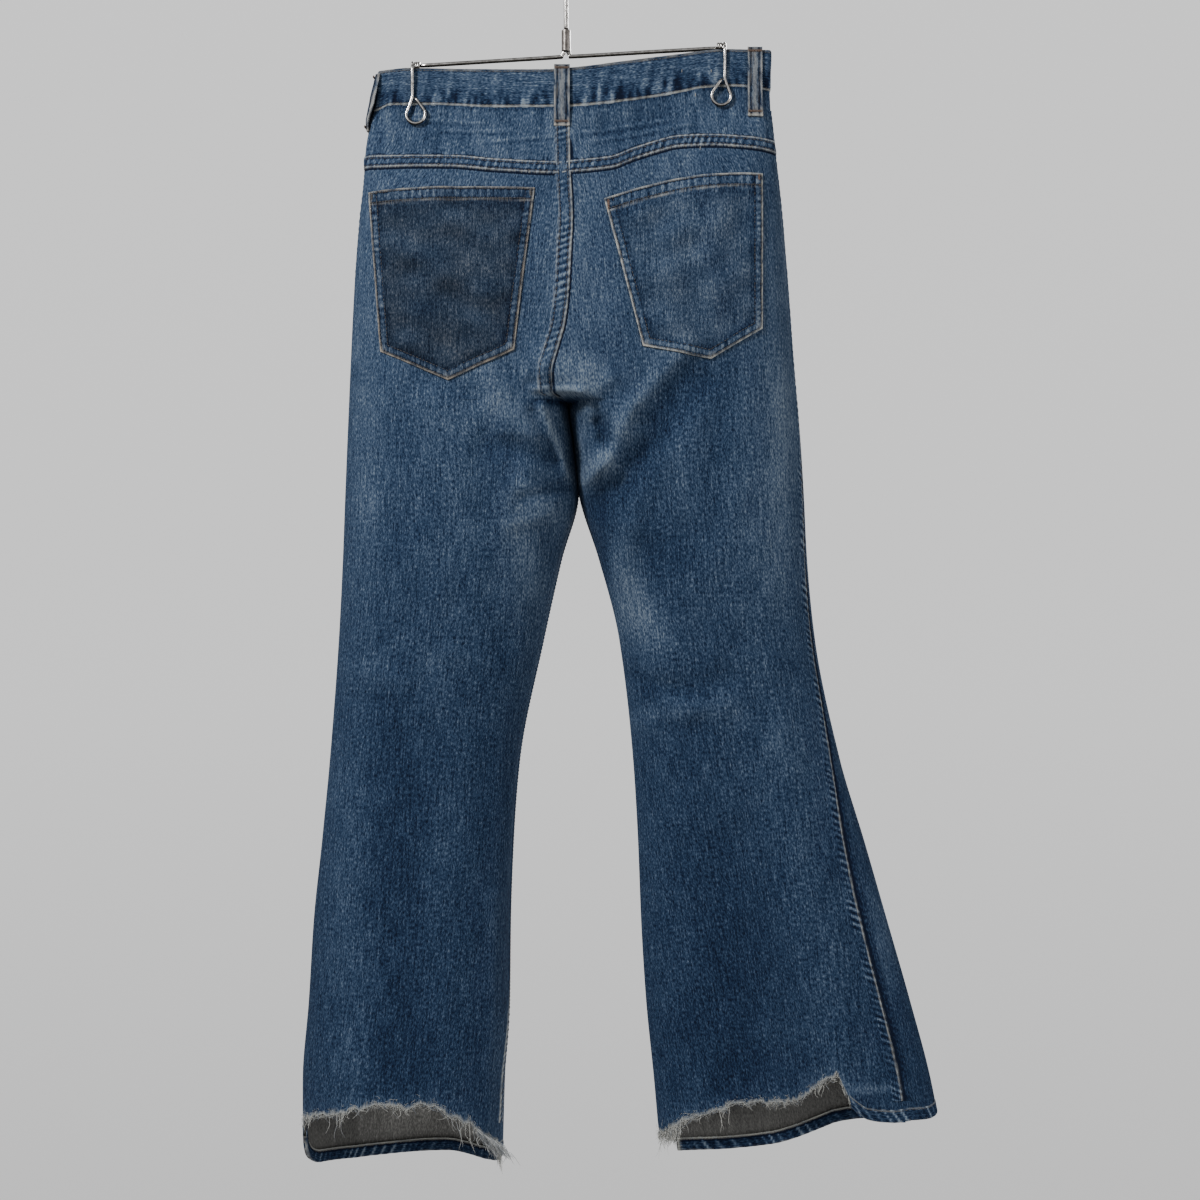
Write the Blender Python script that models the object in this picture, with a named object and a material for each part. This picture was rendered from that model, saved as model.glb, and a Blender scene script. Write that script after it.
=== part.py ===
"""Flared denim jeans with torn heels, hung by the waistband on a wire trouser hanger.

Frame: metres, +Z up. The origin is the inside of the hook's crown, where a rail carries it.
The back of the jeans faces -Y and the front faces +Y. Left and right are the wearer's.

The cloth is worked out from sections. Each half of the garment is a ring at every drop below the
origin: q runs from 0 at the outer fold to 1 at the inner edge along the back, and to -1 along the
front. Above the crotch the inner edge is the centre seam, and below it the ring closes on itself.
"""

import math
import random

import bmesh
import bpy
import numpy as np
from mathutils import Vector

MM = 0.001

# ---------------------------------------------------------------- driving sizes
CLOTH = 1.2 * MM  # wall of one layer of denim
BAND_WALL = 2.4 * MM  # the waistband is folded double
LOOP_WALL = 1.6 * MM
SEAM_GAP = 0.6 * MM  # between two pieces at a seam, along the cloth
LIFT = 0.3 * MM  # between hard pieces and what they touch
UNDER = 0.8 * MM  # between two layers of cloth, clear of their facets
FACING_UNDER = 1.0 * MM  # the same, under the steep curve of a pocket's mouth
FRAY_GAP = 0.7 * MM  # between a torn edge and the strip its threads grow from
CROTCH_DROP = 440 * MM  # where the four panels meet
RISE_START = 378 * MM  # the centre seams start to turn under here
POCKET_LIFT = 0.9 * MM  # clear of the seat's facets
POCKET_SLACK = 1.2 * MM  # how far the mouth of a back pocket stands off in the middle

WAIST_TOP_LEVEL = 118 * MM  # mean drops of the level lines of the cut
WAIST_LEVEL = 150 * MM
YOKE_LEVEL = 200 * MM
MOUTH_LEVEL = 165 * MM
HEM_LEVEL = 1150 * MM

# ---------------------------------------------------------------- the body's sections, in mm
# reach: how far in from the edge the section is rounded
LEFT_ROWS = (
    # drop, outer, inner, back, front, reach, inner_reach
    (112, -180, 2, 3.6, 3.6, 3.6, 30),
    (152, -183, 2, 4.3, 4.3, 4.3, 30),
    (172, -188, 2, 7, 7, 12, 30),
    (196, -192, 2, 13, 11, 34, 30),
    (226, -194, 3, 23, 18, 66, 30),
    (262, -198, 4, 34, 26, 96, 30),
    (320, -202.6, 3, 46, 36, 124, 30),
    (396, -206.4, 1, 54, 41, 138, 34),
    (440, -208.3, 1.6, 56, 43, 138, 38),
    (512, -211.2, 7.5, 53, 44, 118, 62),
    (588, -214.1, -4.8, 50, 43, 106, 92),
    (665, -218, -22, 46, 40, 100, 90),
    (780, -226.6, -45, 42, 36, 90, 88),
    (857, -234, -51, 43, 38, 90, 88),
    (934, -242, -53.8, 46, 41, 92, 90),
    (1011, -246.7, -54.7, 51, 46, 94, 92),
    (1088, -252.5, -58.6, 58, 52, 96, 94),
    (1175, -252, -61, 62, 56, 96, 92),
)
RIGHT_ROWS = (
    # drop, outer, inner, back, front, reach, inner_reach
    (94, 197.5, 2, 3.6, 3.6, 3.6, 30),
    (136, 195.5, 2, 4.3, 4.3, 4.3, 30),
    (152, 196, 2, 5.5, 5.5, 8, 30),
    (176, 198.5, 2, 11, 10, 26, 30),
    (206, 201.5, 2.5, 20, 16, 56, 30),
    (246, 206, 4, 31, 24, 88, 30),
    (320, 212.2, 3, 46, 36, 124, 30),
    (396, 217.9, 1, 54, 41, 138, 34),
    (440, 221.8, 2.4, 56, 43, 138, 38),
    (512, 227.5, 12, 53, 44, 118, 64),
    (588, 231.4, 31.7, 47, 41, 104, 90),
    (665, 239, 51, 38, 33, 96, 88),
    (780, 263, 64.3, 28, 24, 96, 92),
    (857, 286, 69, 25, 20, 96, 90),
    (934, 308.2, 72, 23, 17, 96, 88),
    (1011, 330.2, 76.8, 21, 15, 98, 88),
    (1088, 350.4, 84.5, 20, 14, 100, 88),
    (1175, 366, 92, 20, 14, 100, 88),
)
CENTRE_SEAM = (
    # drop, back_x, front_x
    (94, 2, 2),
    (173, 2.6, 2),
    (216, 3.5, 2),
    (268, 5.8, 2),
    (301, 4.4, 2),
    (335, 2.7, 2),
    (367, -1, 2),
    (392, -7.5, 2),
    (416, -13, 2),
    (432, -12, 2),
    (440, 2, 2),
)
# Where the outseam and inseam lie, from the outer and inner fold along the cloth: + on the back
LEFT_SEAMS = (
    # drop, side, inseam
    (112, -10, 0),
    (230, -10, 0),
    (440, -22, 0),
    (620, -36, 2),
    (860, -62, 4),
    (1170, -82, 6),
)
RIGHT_SEAMS = (
    # drop, side, inseam
    (94, -6, 0),
    (230, -5, 0),
    (330, 1, 0),
    (416, 8, 0),
    (446, 10, 0),
    (510, 15, -4),
    (620, 15, -10),
    (700, 14, -16),
    (783, 18, -22),
    (857, 22.5, -26),
    (929, 29, -30),
    (1046, 37, -36),
    (1170, 39, -40),
)

# ---------------------------------------------------------------- level lines of the cut, in mm
WAIST_TOP = (
    # x, drop
    (-200, 121),
    (-181, 120),
    (-150, 117),
    (-104, 118),
    (-23, 119),
    (8, 117),
    (50, 111.5),
    (106, 104),
    (150, 99),
    (200, 100),
)
WAIST_SEAM = (
    # x, drop
    (-200, 161),
    (-180, 158.7),
    (-167, 153),
    (-121, 153),
    (-80, 155.4),
    (-11, 156.5),
    (6, 156),
    (67, 148.8),
    (105, 142),
    (138, 136),
    (162, 135.2),
    (200, 140),
)
YOKE_SEAM = (
    # x, drop
    (-205, 204),
    (-190, 203),
    (-166, 204),
    (-108, 204.5),
    (-72, 208),
    (-8, 212),
    (6, 210.7),
    (42, 206.5),
    (64, 198),
    (88, 190),
    (111, 184.5),
    (135, 183.5),
    (184, 186),
    (205, 189),
)

# ---------------------------------------------------------------- the largest folds, in mm
BACK_FOLDS = (
    # x1, drop1, x2, drop2, half_width, height: + stands out from the leg
    (-14, 408, 14, 422, 18, 8),  # the seat's overhang above the crotch
    (117, 421, 33, 533, 18, -8),  # long trough across the right thigh
    (24, 512, 74, 474, 17, 6),
    (30, 462, 36, 478, 11, -6),
    (-66, 448, -24, 468, 15, 4),
    (-70, 482, -12, 508, 16, -4),
    (-36, 520, -8, 552, 15, 4),
    (42, 175, 84, 172, 14, -3),
    (74, 716, 160, 700, 12, -2.5),
    (70, 742, 150, 728, 12, 2.5),
    (-66, 910, -68, 1120, 8, 3.5),
    (150, 420, 60, 620, 30, -3),
    (205, 760, 262, 1090, 26, 3),
    (150, 860, 168, 1110, 30, -4),
    (-210, 820, -196, 1100, 24, 3),
    (-150, 760, -150, 1090, 30, -3),
)
FRONT_FOLDS = (
    # x1, drop1, x2, drop2, half_width, height
    (10, 400, 84, 372, 14, 4),
    (14, 428, 92, 410, 13, -4),
    (-6, 402, -78, 376, 14, 4),
    (-10, 430, -88, 408, 13, -4),
    (-70, 740, -190, 716, 14, 3),
    (-66, 770, -180, 752, 14, -3),
    (90, 736, 200, 716, 14, 3),
    (-150, 850, -140, 1120, 28, 4),
    (200, 840, 226, 1100, 28, 3),
)
BETWEEN_CLIPS = (0, 168, 118, 6)  # x, drop, half width and height of the slack between the clips
SLACK_REACH = 60 * MM  # how far down from its level the slack dies away

# ---------------------------------------------------------------- hems and torn heels: q, drop in mm
LEFT_FRONT_HEM = (
    (-1.02, 1154),
    (-0.9, 1169),
    (-0.8, 1171),
    (-0.66, 1167),
    (-0.42, 1172),
    (-0.3, 1174),
)
LEFT_BACK_EDGE = (
    # q, drop: the hem is whole round the outer fold and torn away behind the heel
    (-0.34, 1174),
    (-0.13, 1172),
    (-0.05, 1163),
    (-0.005, 1150),
    (0.02, 1125),
    (0.1, 1118),
    (0.22, 1112),
    (0.34, 1104),
    (0.45, 1096),
    (0.52, 1101),
    (0.58, 1097),
    (0.67, 1108),
    (0.75, 1118),
    (0.81, 1133),
    (0.9, 1142),
    (1.0, 1147),
)
RIGHT_FRONT_HEM = (
    (-1.02, 1150),
    (-0.9, 1156),
    (-0.72, 1156),
    (-0.57, 1150),
    (-0.5, 1144),
    (-0.42, 1135),
    (-0.36, 1128),
    (-0.2, 1121),
    (0.0, 1117),
    (0.105, 1122),
)
RIGHT_BACK_EDGE = (
    # q, drop: whole beside the side seam, then torn away to the inseam
    (0.1, 1122),
    (0.2, 1125),
    (0.3, 1122),
    (0.335, 1116),
    (0.352, 1094),
    (0.368, 1076),
    (0.4, 1083),
    (0.45, 1093),
    (0.5, 1102),
    (0.6, 1106),
    (0.69, 1105),
    (0.76, 1115),
    (0.84, 1124),
    (0.92, 1135),
    (0.965, 1137),
    (0.995, 1139),
    (1.025, 1141),
    (1.07, 1144),
    (1.15, 1148),
)
HEM_HEIGHT = 12 * MM  # turned up inside

# ---------------------------------------------------------------- sewn-on pieces, in mm
BACK_POCKETS = {
    # corners: top outer, top inner, bottom inner, tip, bottom outer, each (x, drop), and the
    # bow of the top edge
    "back_pocket_left": ((-187.5, 238.6), (-29, 237.5), (-47.6, 394), (-109, 421.7), (-174, 393), 1),
    "back_pocket_right": ((187, 221.5), (36.5, 248.5), (72.7, 390), (136.5, 401.3), (185.5, 371), 7),
}
POCKET_ROWS = 9
POCKET_COLUMNS = 9
BELT_LOOPS = (
    # name, side of the garment, x, from, to, width, stand-off
    ("loop_centre_back", "back", -3.8, 115, 176, 15, 1.2),
    ("loop_side_right", "back", 181, 97.5, 165, 14, 1.0),
    ("loop_front_left", "front", -92, 117, 172, 14, 1.0),
    ("loop_front_right", "front", 98, 105, 156, 14, 1.0),
)
LOOP_ROWS = 8
LOOP_COLUMNS = (-0.5, -0.17, 0.17, 0.5)  # shares of its width
SIDE_LOOP_TILT = 0.5  # how far the left side loop bows outwards rather than square to the cloth
SIDE_LOOP = {"along": -5.5, "width": 13, "top": 123, "bottom": 178, "stand_off": 4.5}
MOUTH_DEPTH = 74 * MM  # of the front pockets' mouths, at the side seam
MOUTH_WIDTH = 96 * MM
FACING_UNDERLAP = 7 * MM
FACING_TUCK = 2.5 * MM  # how far its side edge stays clear of the side seam
FACING_COLUMNS = 11
FLY_WIDTH = 36 * MM
FLY_LENGTH = 172 * MM
FLY_OVERLAP = 12 * MM
FLY_COLUMNS = (-12, -6, 0, 9, 18, 27, 36)  # mm from the centre, across the overlap and the width
FLY_ROUNDING = 0.32  # how much shorter the fly is at its outer edge
LAST_ROW = 6 * MM  # least height of a front strip's lowest row
ZIP_WIDTH = 26 * MM
ZIP_COLUMNS = (-0.5, -0.18, 0.18, 0.5)  # shares of its width
ZIP_LENGTH = 126 * MM
ZIP_TOP = 3 * MM  # below the waistband's seam
ZIP_WALL = 1 * MM
BUTTON_X = 2 * MM
BUTTON_RADIUS = 8.5 * MM
BUTTON_PROFILE = (
    # radius, height, in mm
    (3.2, 0),
    (8.2, 0.3),
    (8.5, 1.0),
    (7.6, 2.0),
    (6.2, 2.2),
    (5.6, 1.7),
    (0, 1.9),
)

# ---------------------------------------------------------------- frayed edges
FRAY_SEED = 11
FRAY_BACKING = 1.6 * MM  # height of the strip that the threads grow from
FRAY_THREADS = {"left": 66, "right": 78}
FRAY_LENGTHS = (3 * MM, 8 * MM)
TUFT_LENGTHS = (10 * MM, 16 * MM)  # of the longer threads
TUFT_EVERY = 9
FRAY_WAIST = 0.42  # a thread's width half way down, as a share of its root
FRAY_STEADINESS = 0.7  # how much of its neighbour's lean a thread keeps
FRAY_LEAN = 0.8

# ---------------------------------------------------------------- the hanger
HOOK_WIRE = 2.2 * MM  # radius
HOOK_BEND = 20 * MM  # radius of the bend's centre line
HOOK_TURN = (200, -60, -20)  # degrees round the bend: from the tip to the tail, and the step
STEM_TOP = 52 * MM  # where the stem is straight below the crown
STEM_SWAY = 1.5 * MM
COLLAR_TOP = 80 * MM
COLLAR_BOTTOM = 101 * MM
COLLAR_PROFILE = (
    # radius, height, in mm
    (3.4, 0),
    (4.3, 0.8),
    (4.3, 19.8),
    (3.1, 21),
)
BAR_WIRE = 2.0 * MM
BAR_ROUTE = (
    # x, drop: the bar's centre line, bent up into the collar in the middle
    (-139, 114.4),
    (-60, 109.2),
    (-9, 106.0),
    (-4.2, 104.6),
    (0, 103.4),
    (4.2, 104.4),
    (9, 105.2),
    (70, 101.6),
    (144, 97.2),
)
CLIP_WIRE = 1.15 * MM
CLIPS = {
    # x of the upright, drop of the bar there, drop where the drop-shaped eye starts, its lean
    "hanger_clip_left": (-147, 115, 146, 1),
    "hanger_clip_right": (152, 96.5, 128, -1),
}
CLIP_ENDS = 7 * MM  # from the bar, and from the eye, to the bends of the upright
CLIP_OFF = 0.45 * MM  # between a clip and the cloth
CLIP_ARCH = 1.55  # how much deeper than high the clip is where it goes over the bar
EYE_LENGTH = 26 * MM
EYE_RADIUS = 9 * MM
EYE_OFFSET = 3.5 * MM  # of the eye's centre from the upright
EYE_TURN = range(165, 386, 22)  # degrees round the eye
EYE_END = 5 * MM  # of the wire's end from the upright
CLIP_GAP = 1.5 * MM

# ---------------------------------------------------------------- finishes
FINISHES = {
    # name: colour, roughness, metallic
    "denim": ((0.052, 0.093, 0.155), 0.9, 0.0),
    "thread": ((0.42, 0.4, 0.34), 0.9, 0.0),
    "steel": ((0.62, 0.6, 0.57), 0.25, 1.0),
    "brass": ((0.42, 0.3, 0.16), 0.4, 1.0),
}


# ---------------------------------------------------------------- curves through short tables
def smooth(knots, values, at):
    """A cubic curve through a table's points that never swings past them."""
    at = np.clip(np.asarray(at, float), knots[0], knots[-1])
    rise = np.diff(values) / np.diff(knots)
    before, after = rise[:-1], rise[1:]
    same_way = before * after > 0
    total = np.where(same_way, before + after, 1)
    slope = np.zeros(len(values))
    slope[1:-1] = np.where(same_way, 2 * before * after / total, 0)
    slope[0], slope[-1] = rise[0], rise[-1]
    step = np.clip(np.searchsorted(knots, at, side="right") - 1, 0, len(knots) - 2)
    width = knots[step + 1] - knots[step]
    t = (at - knots[step]) / width
    return (
        (1 + 2 * t) * (1 - t) ** 2 * values[step]
        + t * (1 - t) ** 2 * width * slope[step]
        + t * t * (3 - 2 * t) * values[step + 1]
        + t * t * (t - 1) * width * slope[step + 1]
    )


def column(rows, index, at):
    """One column of a table in mm, read at places in metres and given in metres."""
    table = np.asarray(rows, float) * MM
    return smooth(table[:, 0], table[:, index], at)


def level_line(rows, x):
    return column(rows, 1, x)


def edge_line(rows, q):
    """The drop of a hem or a torn edge at ring places q."""
    table = np.asarray(rows, float)
    return np.interp(q, table[:, 0], table[:, 1] * MM)


# ---------------------------------------------------------------- the body's surface
ROWS = {"left": LEFT_ROWS, "right": RIGHT_ROWS}
SEAMS = {"left": LEFT_SEAMS, "right": RIGHT_SEAMS}


def ellipse_quarter(reach, depth):
    return 0.5 * math.pi * np.sqrt(0.5 * (reach**2 + depth**2))


def section(side, back, drop):
    """The sizes of one face of one half's ring at a drop."""
    rows = ROWS[side]
    outer = column(rows, 1, drop)
    depth = column(rows, 3 if back else 4, drop)
    reach = column(rows, 5, drop)
    inner_reach = column(rows, 6, drop)
    centre = column(CENTRE_SEAM, 1 if back else 2, drop)
    below = drop >= CROTCH_DROP
    inner = np.where(below, column(rows, 2, drop), centre)
    turned = np.clip((drop - RISE_START) / (CROTCH_DROP - RISE_START), 0, 1)
    turn = np.arcsin(np.where(below, 1, turned))
    outer_arc = ellipse_quarter(reach, depth)
    inner_arc = ellipse_quarter(inner_reach, depth) * turn / (0.5 * math.pi)
    flat = np.maximum(np.abs(inner - outer) - reach - inner_reach * np.sin(turn), 0)
    return outer, inner, depth, reach, inner_reach, turn, outer_arc, flat, inner_arc


def half_length(side, back, drop):
    parts = section(side, back, drop)
    return parts[6] + parts[7] + parts[8]


def fold_height(folds, x, drop):
    """How far the folds of a table lift the cloth at each place."""
    height = np.zeros(np.broadcast(x, drop).shape)
    for x1, drop1, x2, drop2, half_width, peak in folds:
        start = np.array((x1, drop1)) * MM
        run = np.array((x2, drop2)) * MM - start
        length = np.hypot(*run)
        ahead = ((x - start[0]) * run[0] + (drop - start[1]) * run[1]) / length
        beside = ((x - start[0]) * run[1] - (drop - start[1]) * run[0]) / length
        past = np.maximum(np.abs(ahead - length / 2) - length / 2, 0)
        height += peak * MM * np.exp(-(beside**2 + past**2) / (half_width * MM) ** 2)
    return height


def slack_between_clips(x, drop):
    centre, level, half_width, height = (value * MM for value in BETWEEN_CLIPS)
    across = np.clip(1 - ((x - centre) / half_width) ** 2, 0, 1)
    down = np.exp(-(((drop - level) / SLACK_REACH) ** 2))
    return height * across**2 * down


def face_points(side, back, q, drop):
    """Points of one face: q from 0 at the outer fold to 1 at the inner edge."""
    outer, inner, depth, reach, inner_reach, turn, outer_arc, flat, inner_arc = section(
        side, back, drop
    )
    other_side = "right" if side == "left" else "left"
    other_depth = column(ROWS[other_side], 3 if back else 4, drop)
    meeting = np.where(drop < CROTCH_DROP, 0.5 * q * q * (3 - 2 * q), 0)
    depth = depth + (other_depth - depth) * meeting
    inward = np.sign(inner - outer)
    length = outer_arc + flat + inner_arc
    along = q * length
    first = np.clip(along / outer_arc, 0, 1) * 0.5 * math.pi
    middle = np.clip(along - outer_arc, 0, flat)
    last_share = np.clip((along - outer_arc - flat) / np.maximum(inner_arc, 1e-9), 0, 1)
    last = last_share * turn
    in_last = along > outer_arc + flat
    x_first = outer + inward * (reach * (1 - np.cos(first)) + middle)
    x_last = inner - inward * inner_reach * (np.sin(turn) - np.sin(last))
    x = np.where(in_last, x_last, x_first)
    y = depth * np.where(in_last, np.cos(last), np.sin(first))
    facing = np.clip(y / depth, 0, 1) ** 0.5
    folds = BACK_FOLDS if back else FRONT_FOLDS
    y = y + facing * (fold_height(folds, x, drop) + slack_between_clips(x, drop))
    return np.stack((x, -y if back else y, -drop), axis=-1)


def surface(side, q, drop):
    """Points on the outside of one half. Below the crotch q past 1 or -1 goes on round the leg."""
    q, drop = np.broadcast_arrays(np.asarray(q, float), np.asarray(drop, float))
    q = np.where(q > 1, q - 2, q)
    q = np.where(q < -1, q + 2, q)
    on_back = face_points(side, True, np.abs(q), drop)
    on_front = face_points(side, False, np.abs(q), drop)
    return np.where((q >= 0)[..., None], on_back, on_front)


def normals(side, q, drop, q_low=-9.0, q_high=9.0):
    """Outward unit normals, from small steps that stay between q_low and q_high."""
    small_q = 0.004
    small_drop = 1.5 * MM
    across = surface(side, np.minimum(q + small_q, q_high), drop) - surface(
        side, np.maximum(q - small_q, q_low), drop
    )
    down = surface(side, q, drop + small_drop) - surface(side, q, drop - small_drop)
    normal = np.cross(across, down)
    normal /= np.maximum(np.linalg.norm(normal, axis=-1, keepdims=True), 1e-12)
    return normal if side == "right" else -normal


def seam_q(side, which, drop):
    """Ring place of the outseam or the inseam at a drop."""
    offset = column(SEAMS[side], 1 if which == "side" else 2, drop)
    length = half_length(side, True, drop)
    front_length = half_length(side, False, drop)
    share = np.where(offset >= 0, offset / length, offset / front_length)
    return share if which == "side" else 1 - share


def q_at(side, back, x, drop):
    """Ring place of a point of one face, found from its x."""
    tries = np.linspace(0, 1, 161)
    line = face_points(side, back, tries, np.full(tries.shape, drop))[:, 0]
    order = np.argsort(line)
    q = np.interp(x, line[order], tries[order])
    return q if back else -q


def place(back, x, drop):
    """A point of the surface and its normal, from x and drop."""
    centre = column(CENTRE_SEAM, 1 if back else 2, drop)
    side = "left" if x < centre else "right"
    q = q_at(side, back, x, drop)
    limits = (0.0, 1.0) if back else (-1.0, 0.0)
    return surface(side, q, drop), normals(side, np.asarray(q), np.asarray(drop), *limits)


# ---------------------------------------------------------------- meshes
def finish_material(name):
    colour, roughness, metallic = FINISHES[name]
    material = bpy.data.materials.get(name) or bpy.data.materials.new(name)
    material.use_nodes = True
    shader = material.node_tree.nodes["Principled BSDF"]
    shader.inputs["Base Color"].default_value = (*colour, 1)
    shader.inputs["Roughness"].default_value = roughness
    shader.inputs["Metallic"].default_value = metallic
    return material


def add_object(name, bm, finish):
    bmesh.ops.recalc_face_normals(bm, faces=bm.faces)
    mesh = bpy.data.meshes.new(name)
    bm.to_mesh(mesh)
    bm.free()
    mesh.shade_smooth()
    mesh.set_sharp_from_angle(angle=math.radians(40))
    mesh.materials.append(finish_material(finish))
    made = bpy.data.objects.new(name, mesh)
    bpy.context.scene.collection.objects.link(made)
    return made


def add_wall(name, outside, inside, finish):
    """A wall between two grids of points, closed along its four edges."""
    rows, columns = outside.shape[:2]
    bm = bmesh.new()
    layers = []
    for grid in (outside, inside):
        layers.append([[bm.verts.new(point) for point in row] for row in grid])
    out, ins = layers
    for r in range(rows - 1):
        for c in range(columns - 1):
            corners = ((r, c), (r, c + 1), (r + 1, c + 1), (r + 1, c))
            for trio in ((0, 1, 2), (0, 2, 3)):  # both layers split along the same diagonal
                bm.faces.new([out[corners[k][0]][corners[k][1]] for k in trio])
                bm.faces.new([ins[corners[k][0]][corners[k][1]] for k in reversed(trio)])
    for c in range(columns - 1):
        bm.faces.new((out[0][c + 1], out[0][c], ins[0][c], ins[0][c + 1]))
        bm.faces.new((out[-1][c], out[-1][c + 1], ins[-1][c + 1], ins[-1][c]))
    for r in range(rows - 1):
        bm.faces.new((out[r][0], out[r + 1][0], ins[r + 1][0], ins[r][0]))
        bm.faces.new((out[r + 1][-1], out[r][-1], ins[r][-1], ins[r + 1][-1]))
    return add_object(name, bm, finish)


def add_wire(name, points, radius, finish, sides=8):
    """A round wire along a route, with flat ends."""
    path = [Vector(point) for point in points]
    bm = bmesh.new()
    rings = []
    across = None
    for i, point in enumerate(path):
        ahead = path[min(i + 1, len(path) - 1)] - path[max(i - 1, 0)]
        ahead.normalize()
        if across is None:
            across = ahead.orthogonal().normalized()
        across = (across - ahead * across.dot(ahead)).normalized()
        over = ahead.cross(across)
        ring = []
        for k in range(sides):
            angle = 2 * math.pi * k / sides
            ring.append(
                bm.verts.new(point + radius * (math.cos(angle) * across + math.sin(angle) * over))
            )
        rings.append(ring)
    for low, high in zip(rings, rings[1:]):
        for k in range(sides):
            n = (k + 1) % sides
            bm.faces.new((low[k], low[n], high[n], high[k]))
    bm.faces.new(list(reversed(rings[0])))
    bm.faces.new(rings[-1])
    return add_object(name, bm, finish)


def add_turned(name, profile, centre, axis, finish, sides=20):
    """A round piece turned from (radius, height) points along an axis; it ends on the axis."""
    axis = Vector(axis).normalized()
    across = axis.orthogonal().normalized()
    over = axis.cross(across)
    bm = bmesh.new()
    rings = []
    for radius, height in profile:
        middle = Vector(centre) + axis * height
        if radius == 0:
            rings.append([bm.verts.new(middle)])
            continue
        ring = []
        for k in range(sides):
            angle = 2 * math.pi * k / sides
            ring.append(
                bm.verts.new(middle + radius * (math.cos(angle) * across + math.sin(angle) * over))
            )
        rings.append(ring)
    for low, high in zip(rings, rings[1:]):
        for k in range(sides):
            n = (k + 1) % sides
            if len(high) == 1:
                bm.faces.new((low[k], low[n], high[0]))
            else:
                bm.faces.new((low[k], low[n], high[n], high[k]))
    bm.faces.new(list(reversed(rings[0])))
    if len(rings[-1]) > 1:
        bm.faces.new(rings[-1])
    return add_object(name, bm, finish)


# ---------------------------------------------------------------- leg panels and yokes
CROTCH_STEPS = 5  # rows on the short curve where the seat seam turns under
UPPER_LEVELS = (205, 221, 240, 264, 294, 330)
LEG_LEVELS = (458, 488, 522, 566, 620, 690, 770, 850, 930, 1010, 1070, 1100)
TOP_BLEND = 120 * MM
HEM_BLEND = 110 * MM
BACK_EDGES = {"left": LEFT_BACK_EDGE, "right": RIGHT_BACK_EDGE}
FRONT_HEMS = {"left": LEFT_FRONT_HEM, "right": RIGHT_FRONT_HEM}
# The front's columns, as shares from the side seam, stand closer at the steep end of a pocket's mouth
FRONT_SHARES = (0, 0.035, 0.06, 0.085, 0.11, 0.14, 0.19, 0.3, 0.39, 0.445, 0.48, 0.56, 0.67, 0.8, 0.9, 1)
FOLD_SHARES = (0.022, 0.05, 0.085)  # extra columns round the outer fold, near the waist


def back_shares(side):
    """The back's columns, as shares from the side seam: one at each corner of the torn edge."""
    level = np.array(HEM_LEVEL)
    q_side, q_in = seam_q(side, "side", level), seam_q(side, "inseam", level)
    corners = np.array([q for q, _ in BACK_EDGES[side]])
    inner = corners[(corners > q_side + 0.02) & (corners < q_in - 0.02)]
    shares = (inner - q_side) / (q_in - q_side)
    return np.concatenate(((0.0, 0.05), shares[shares > 0.07], (1.0,)))


def ring_places(side, back, shares, drop):
    """Ring places of a panel's columns at a drop, a trim away from the seams at its two ends."""
    trim = 0.5 * SEAM_GAP / half_length(side, back, drop)
    q_side = seam_q(side, "side", drop)
    q_in = seam_q(side, "inseam", drop)
    if back:
        return q_side + trim + (q_in - q_side - 2 * trim) * shares
    return q_side - trim + (q_in - 2 - q_side + 2 * trim) * shares


def settle(side, back, shares, line, drop):
    """Ring places and drops where a panel's columns meet a line given by its ring places."""
    for _ in range(4):
        q = ring_places(side, back, shares, drop)
        drop = line(side, q)
    return q, drop


def panel_levels():
    """The drops of a panel's rows, close together where the seat seam turns under."""
    turning = []
    for k in range(CROTCH_STEPS + 1):
        reached = math.sin(0.5 * math.pi * k / CROTCH_STEPS)
        turning.append(RISE_START + (CROTCH_DROP - RISE_START) * reached)
    above = [level * MM for level in UPPER_LEVELS]
    return np.array(above + turning + [level * MM for level in LEG_LEVELS])


def panel_grid(side, back, shares, top, bottom):
    """Ring places and drops of a leg panel, from its top line to its hem."""
    levels = panel_levels()
    shares = np.asarray(shares)
    start = np.full(len(shares), levels[0])
    _, top_drop = settle(side, back, shares, top, start)
    _, bottom_drop = settle(side, back, shares, bottom, start + levels[-1])
    q_grid = np.zeros((len(levels), len(shares)))
    drop_grid = np.zeros_like(q_grid)
    for r, level in enumerate(levels):
        top_share = np.clip(1 - (level - levels[0]) / TOP_BLEND, 0, 1)
        low_share = np.clip(1 - (levels[-1] - level) / HEM_BLEND, 0, 1)
        drop_grid[r] = (
            level + (top_drop - levels[0]) * top_share + (bottom_drop - levels[-1]) * low_share
        )
        q_grid[r] = ring_places(side, back, shares, drop_grid[r])
    drop_grid[0] += 0.5 * SEAM_GAP
    return q_grid, drop_grid


def yoke_line(side, q):
    x = surface(side, q, np.full(np.shape(q), YOKE_LEVEL))[..., 0]
    return level_line(YOKE_SEAM, x)


def waist_line(side, q):
    x = surface(side, q, np.full(np.shape(q), WAIST_LEVEL))[..., 0]
    return level_line(WAIST_SEAM, x)


def waist_top_line(side, q):
    x = surface(side, q, np.full(np.shape(q), WAIST_TOP_LEVEL))[..., 0]
    return level_line(WAIST_TOP, x)


def mouth_line(side, q):
    """The front panel's top: the waist seam, dipping to the side seam as the pocket's mouth."""
    level = np.array(MOUTH_LEVEL)
    along = (seam_q(side, "side", level) - q) * half_length(side, False, level)
    inward = np.clip(along / MOUTH_WIDTH, 0, 1)
    return waist_line(side, q) + MOUTH_DEPTH * np.sqrt(1 - inward**2.2)


def back_edge_line(side, q):
    return edge_line(BACK_EDGES[side], q)


def front_hem_line(side, q):
    return edge_line(FRONT_HEMS[side], q)


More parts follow.
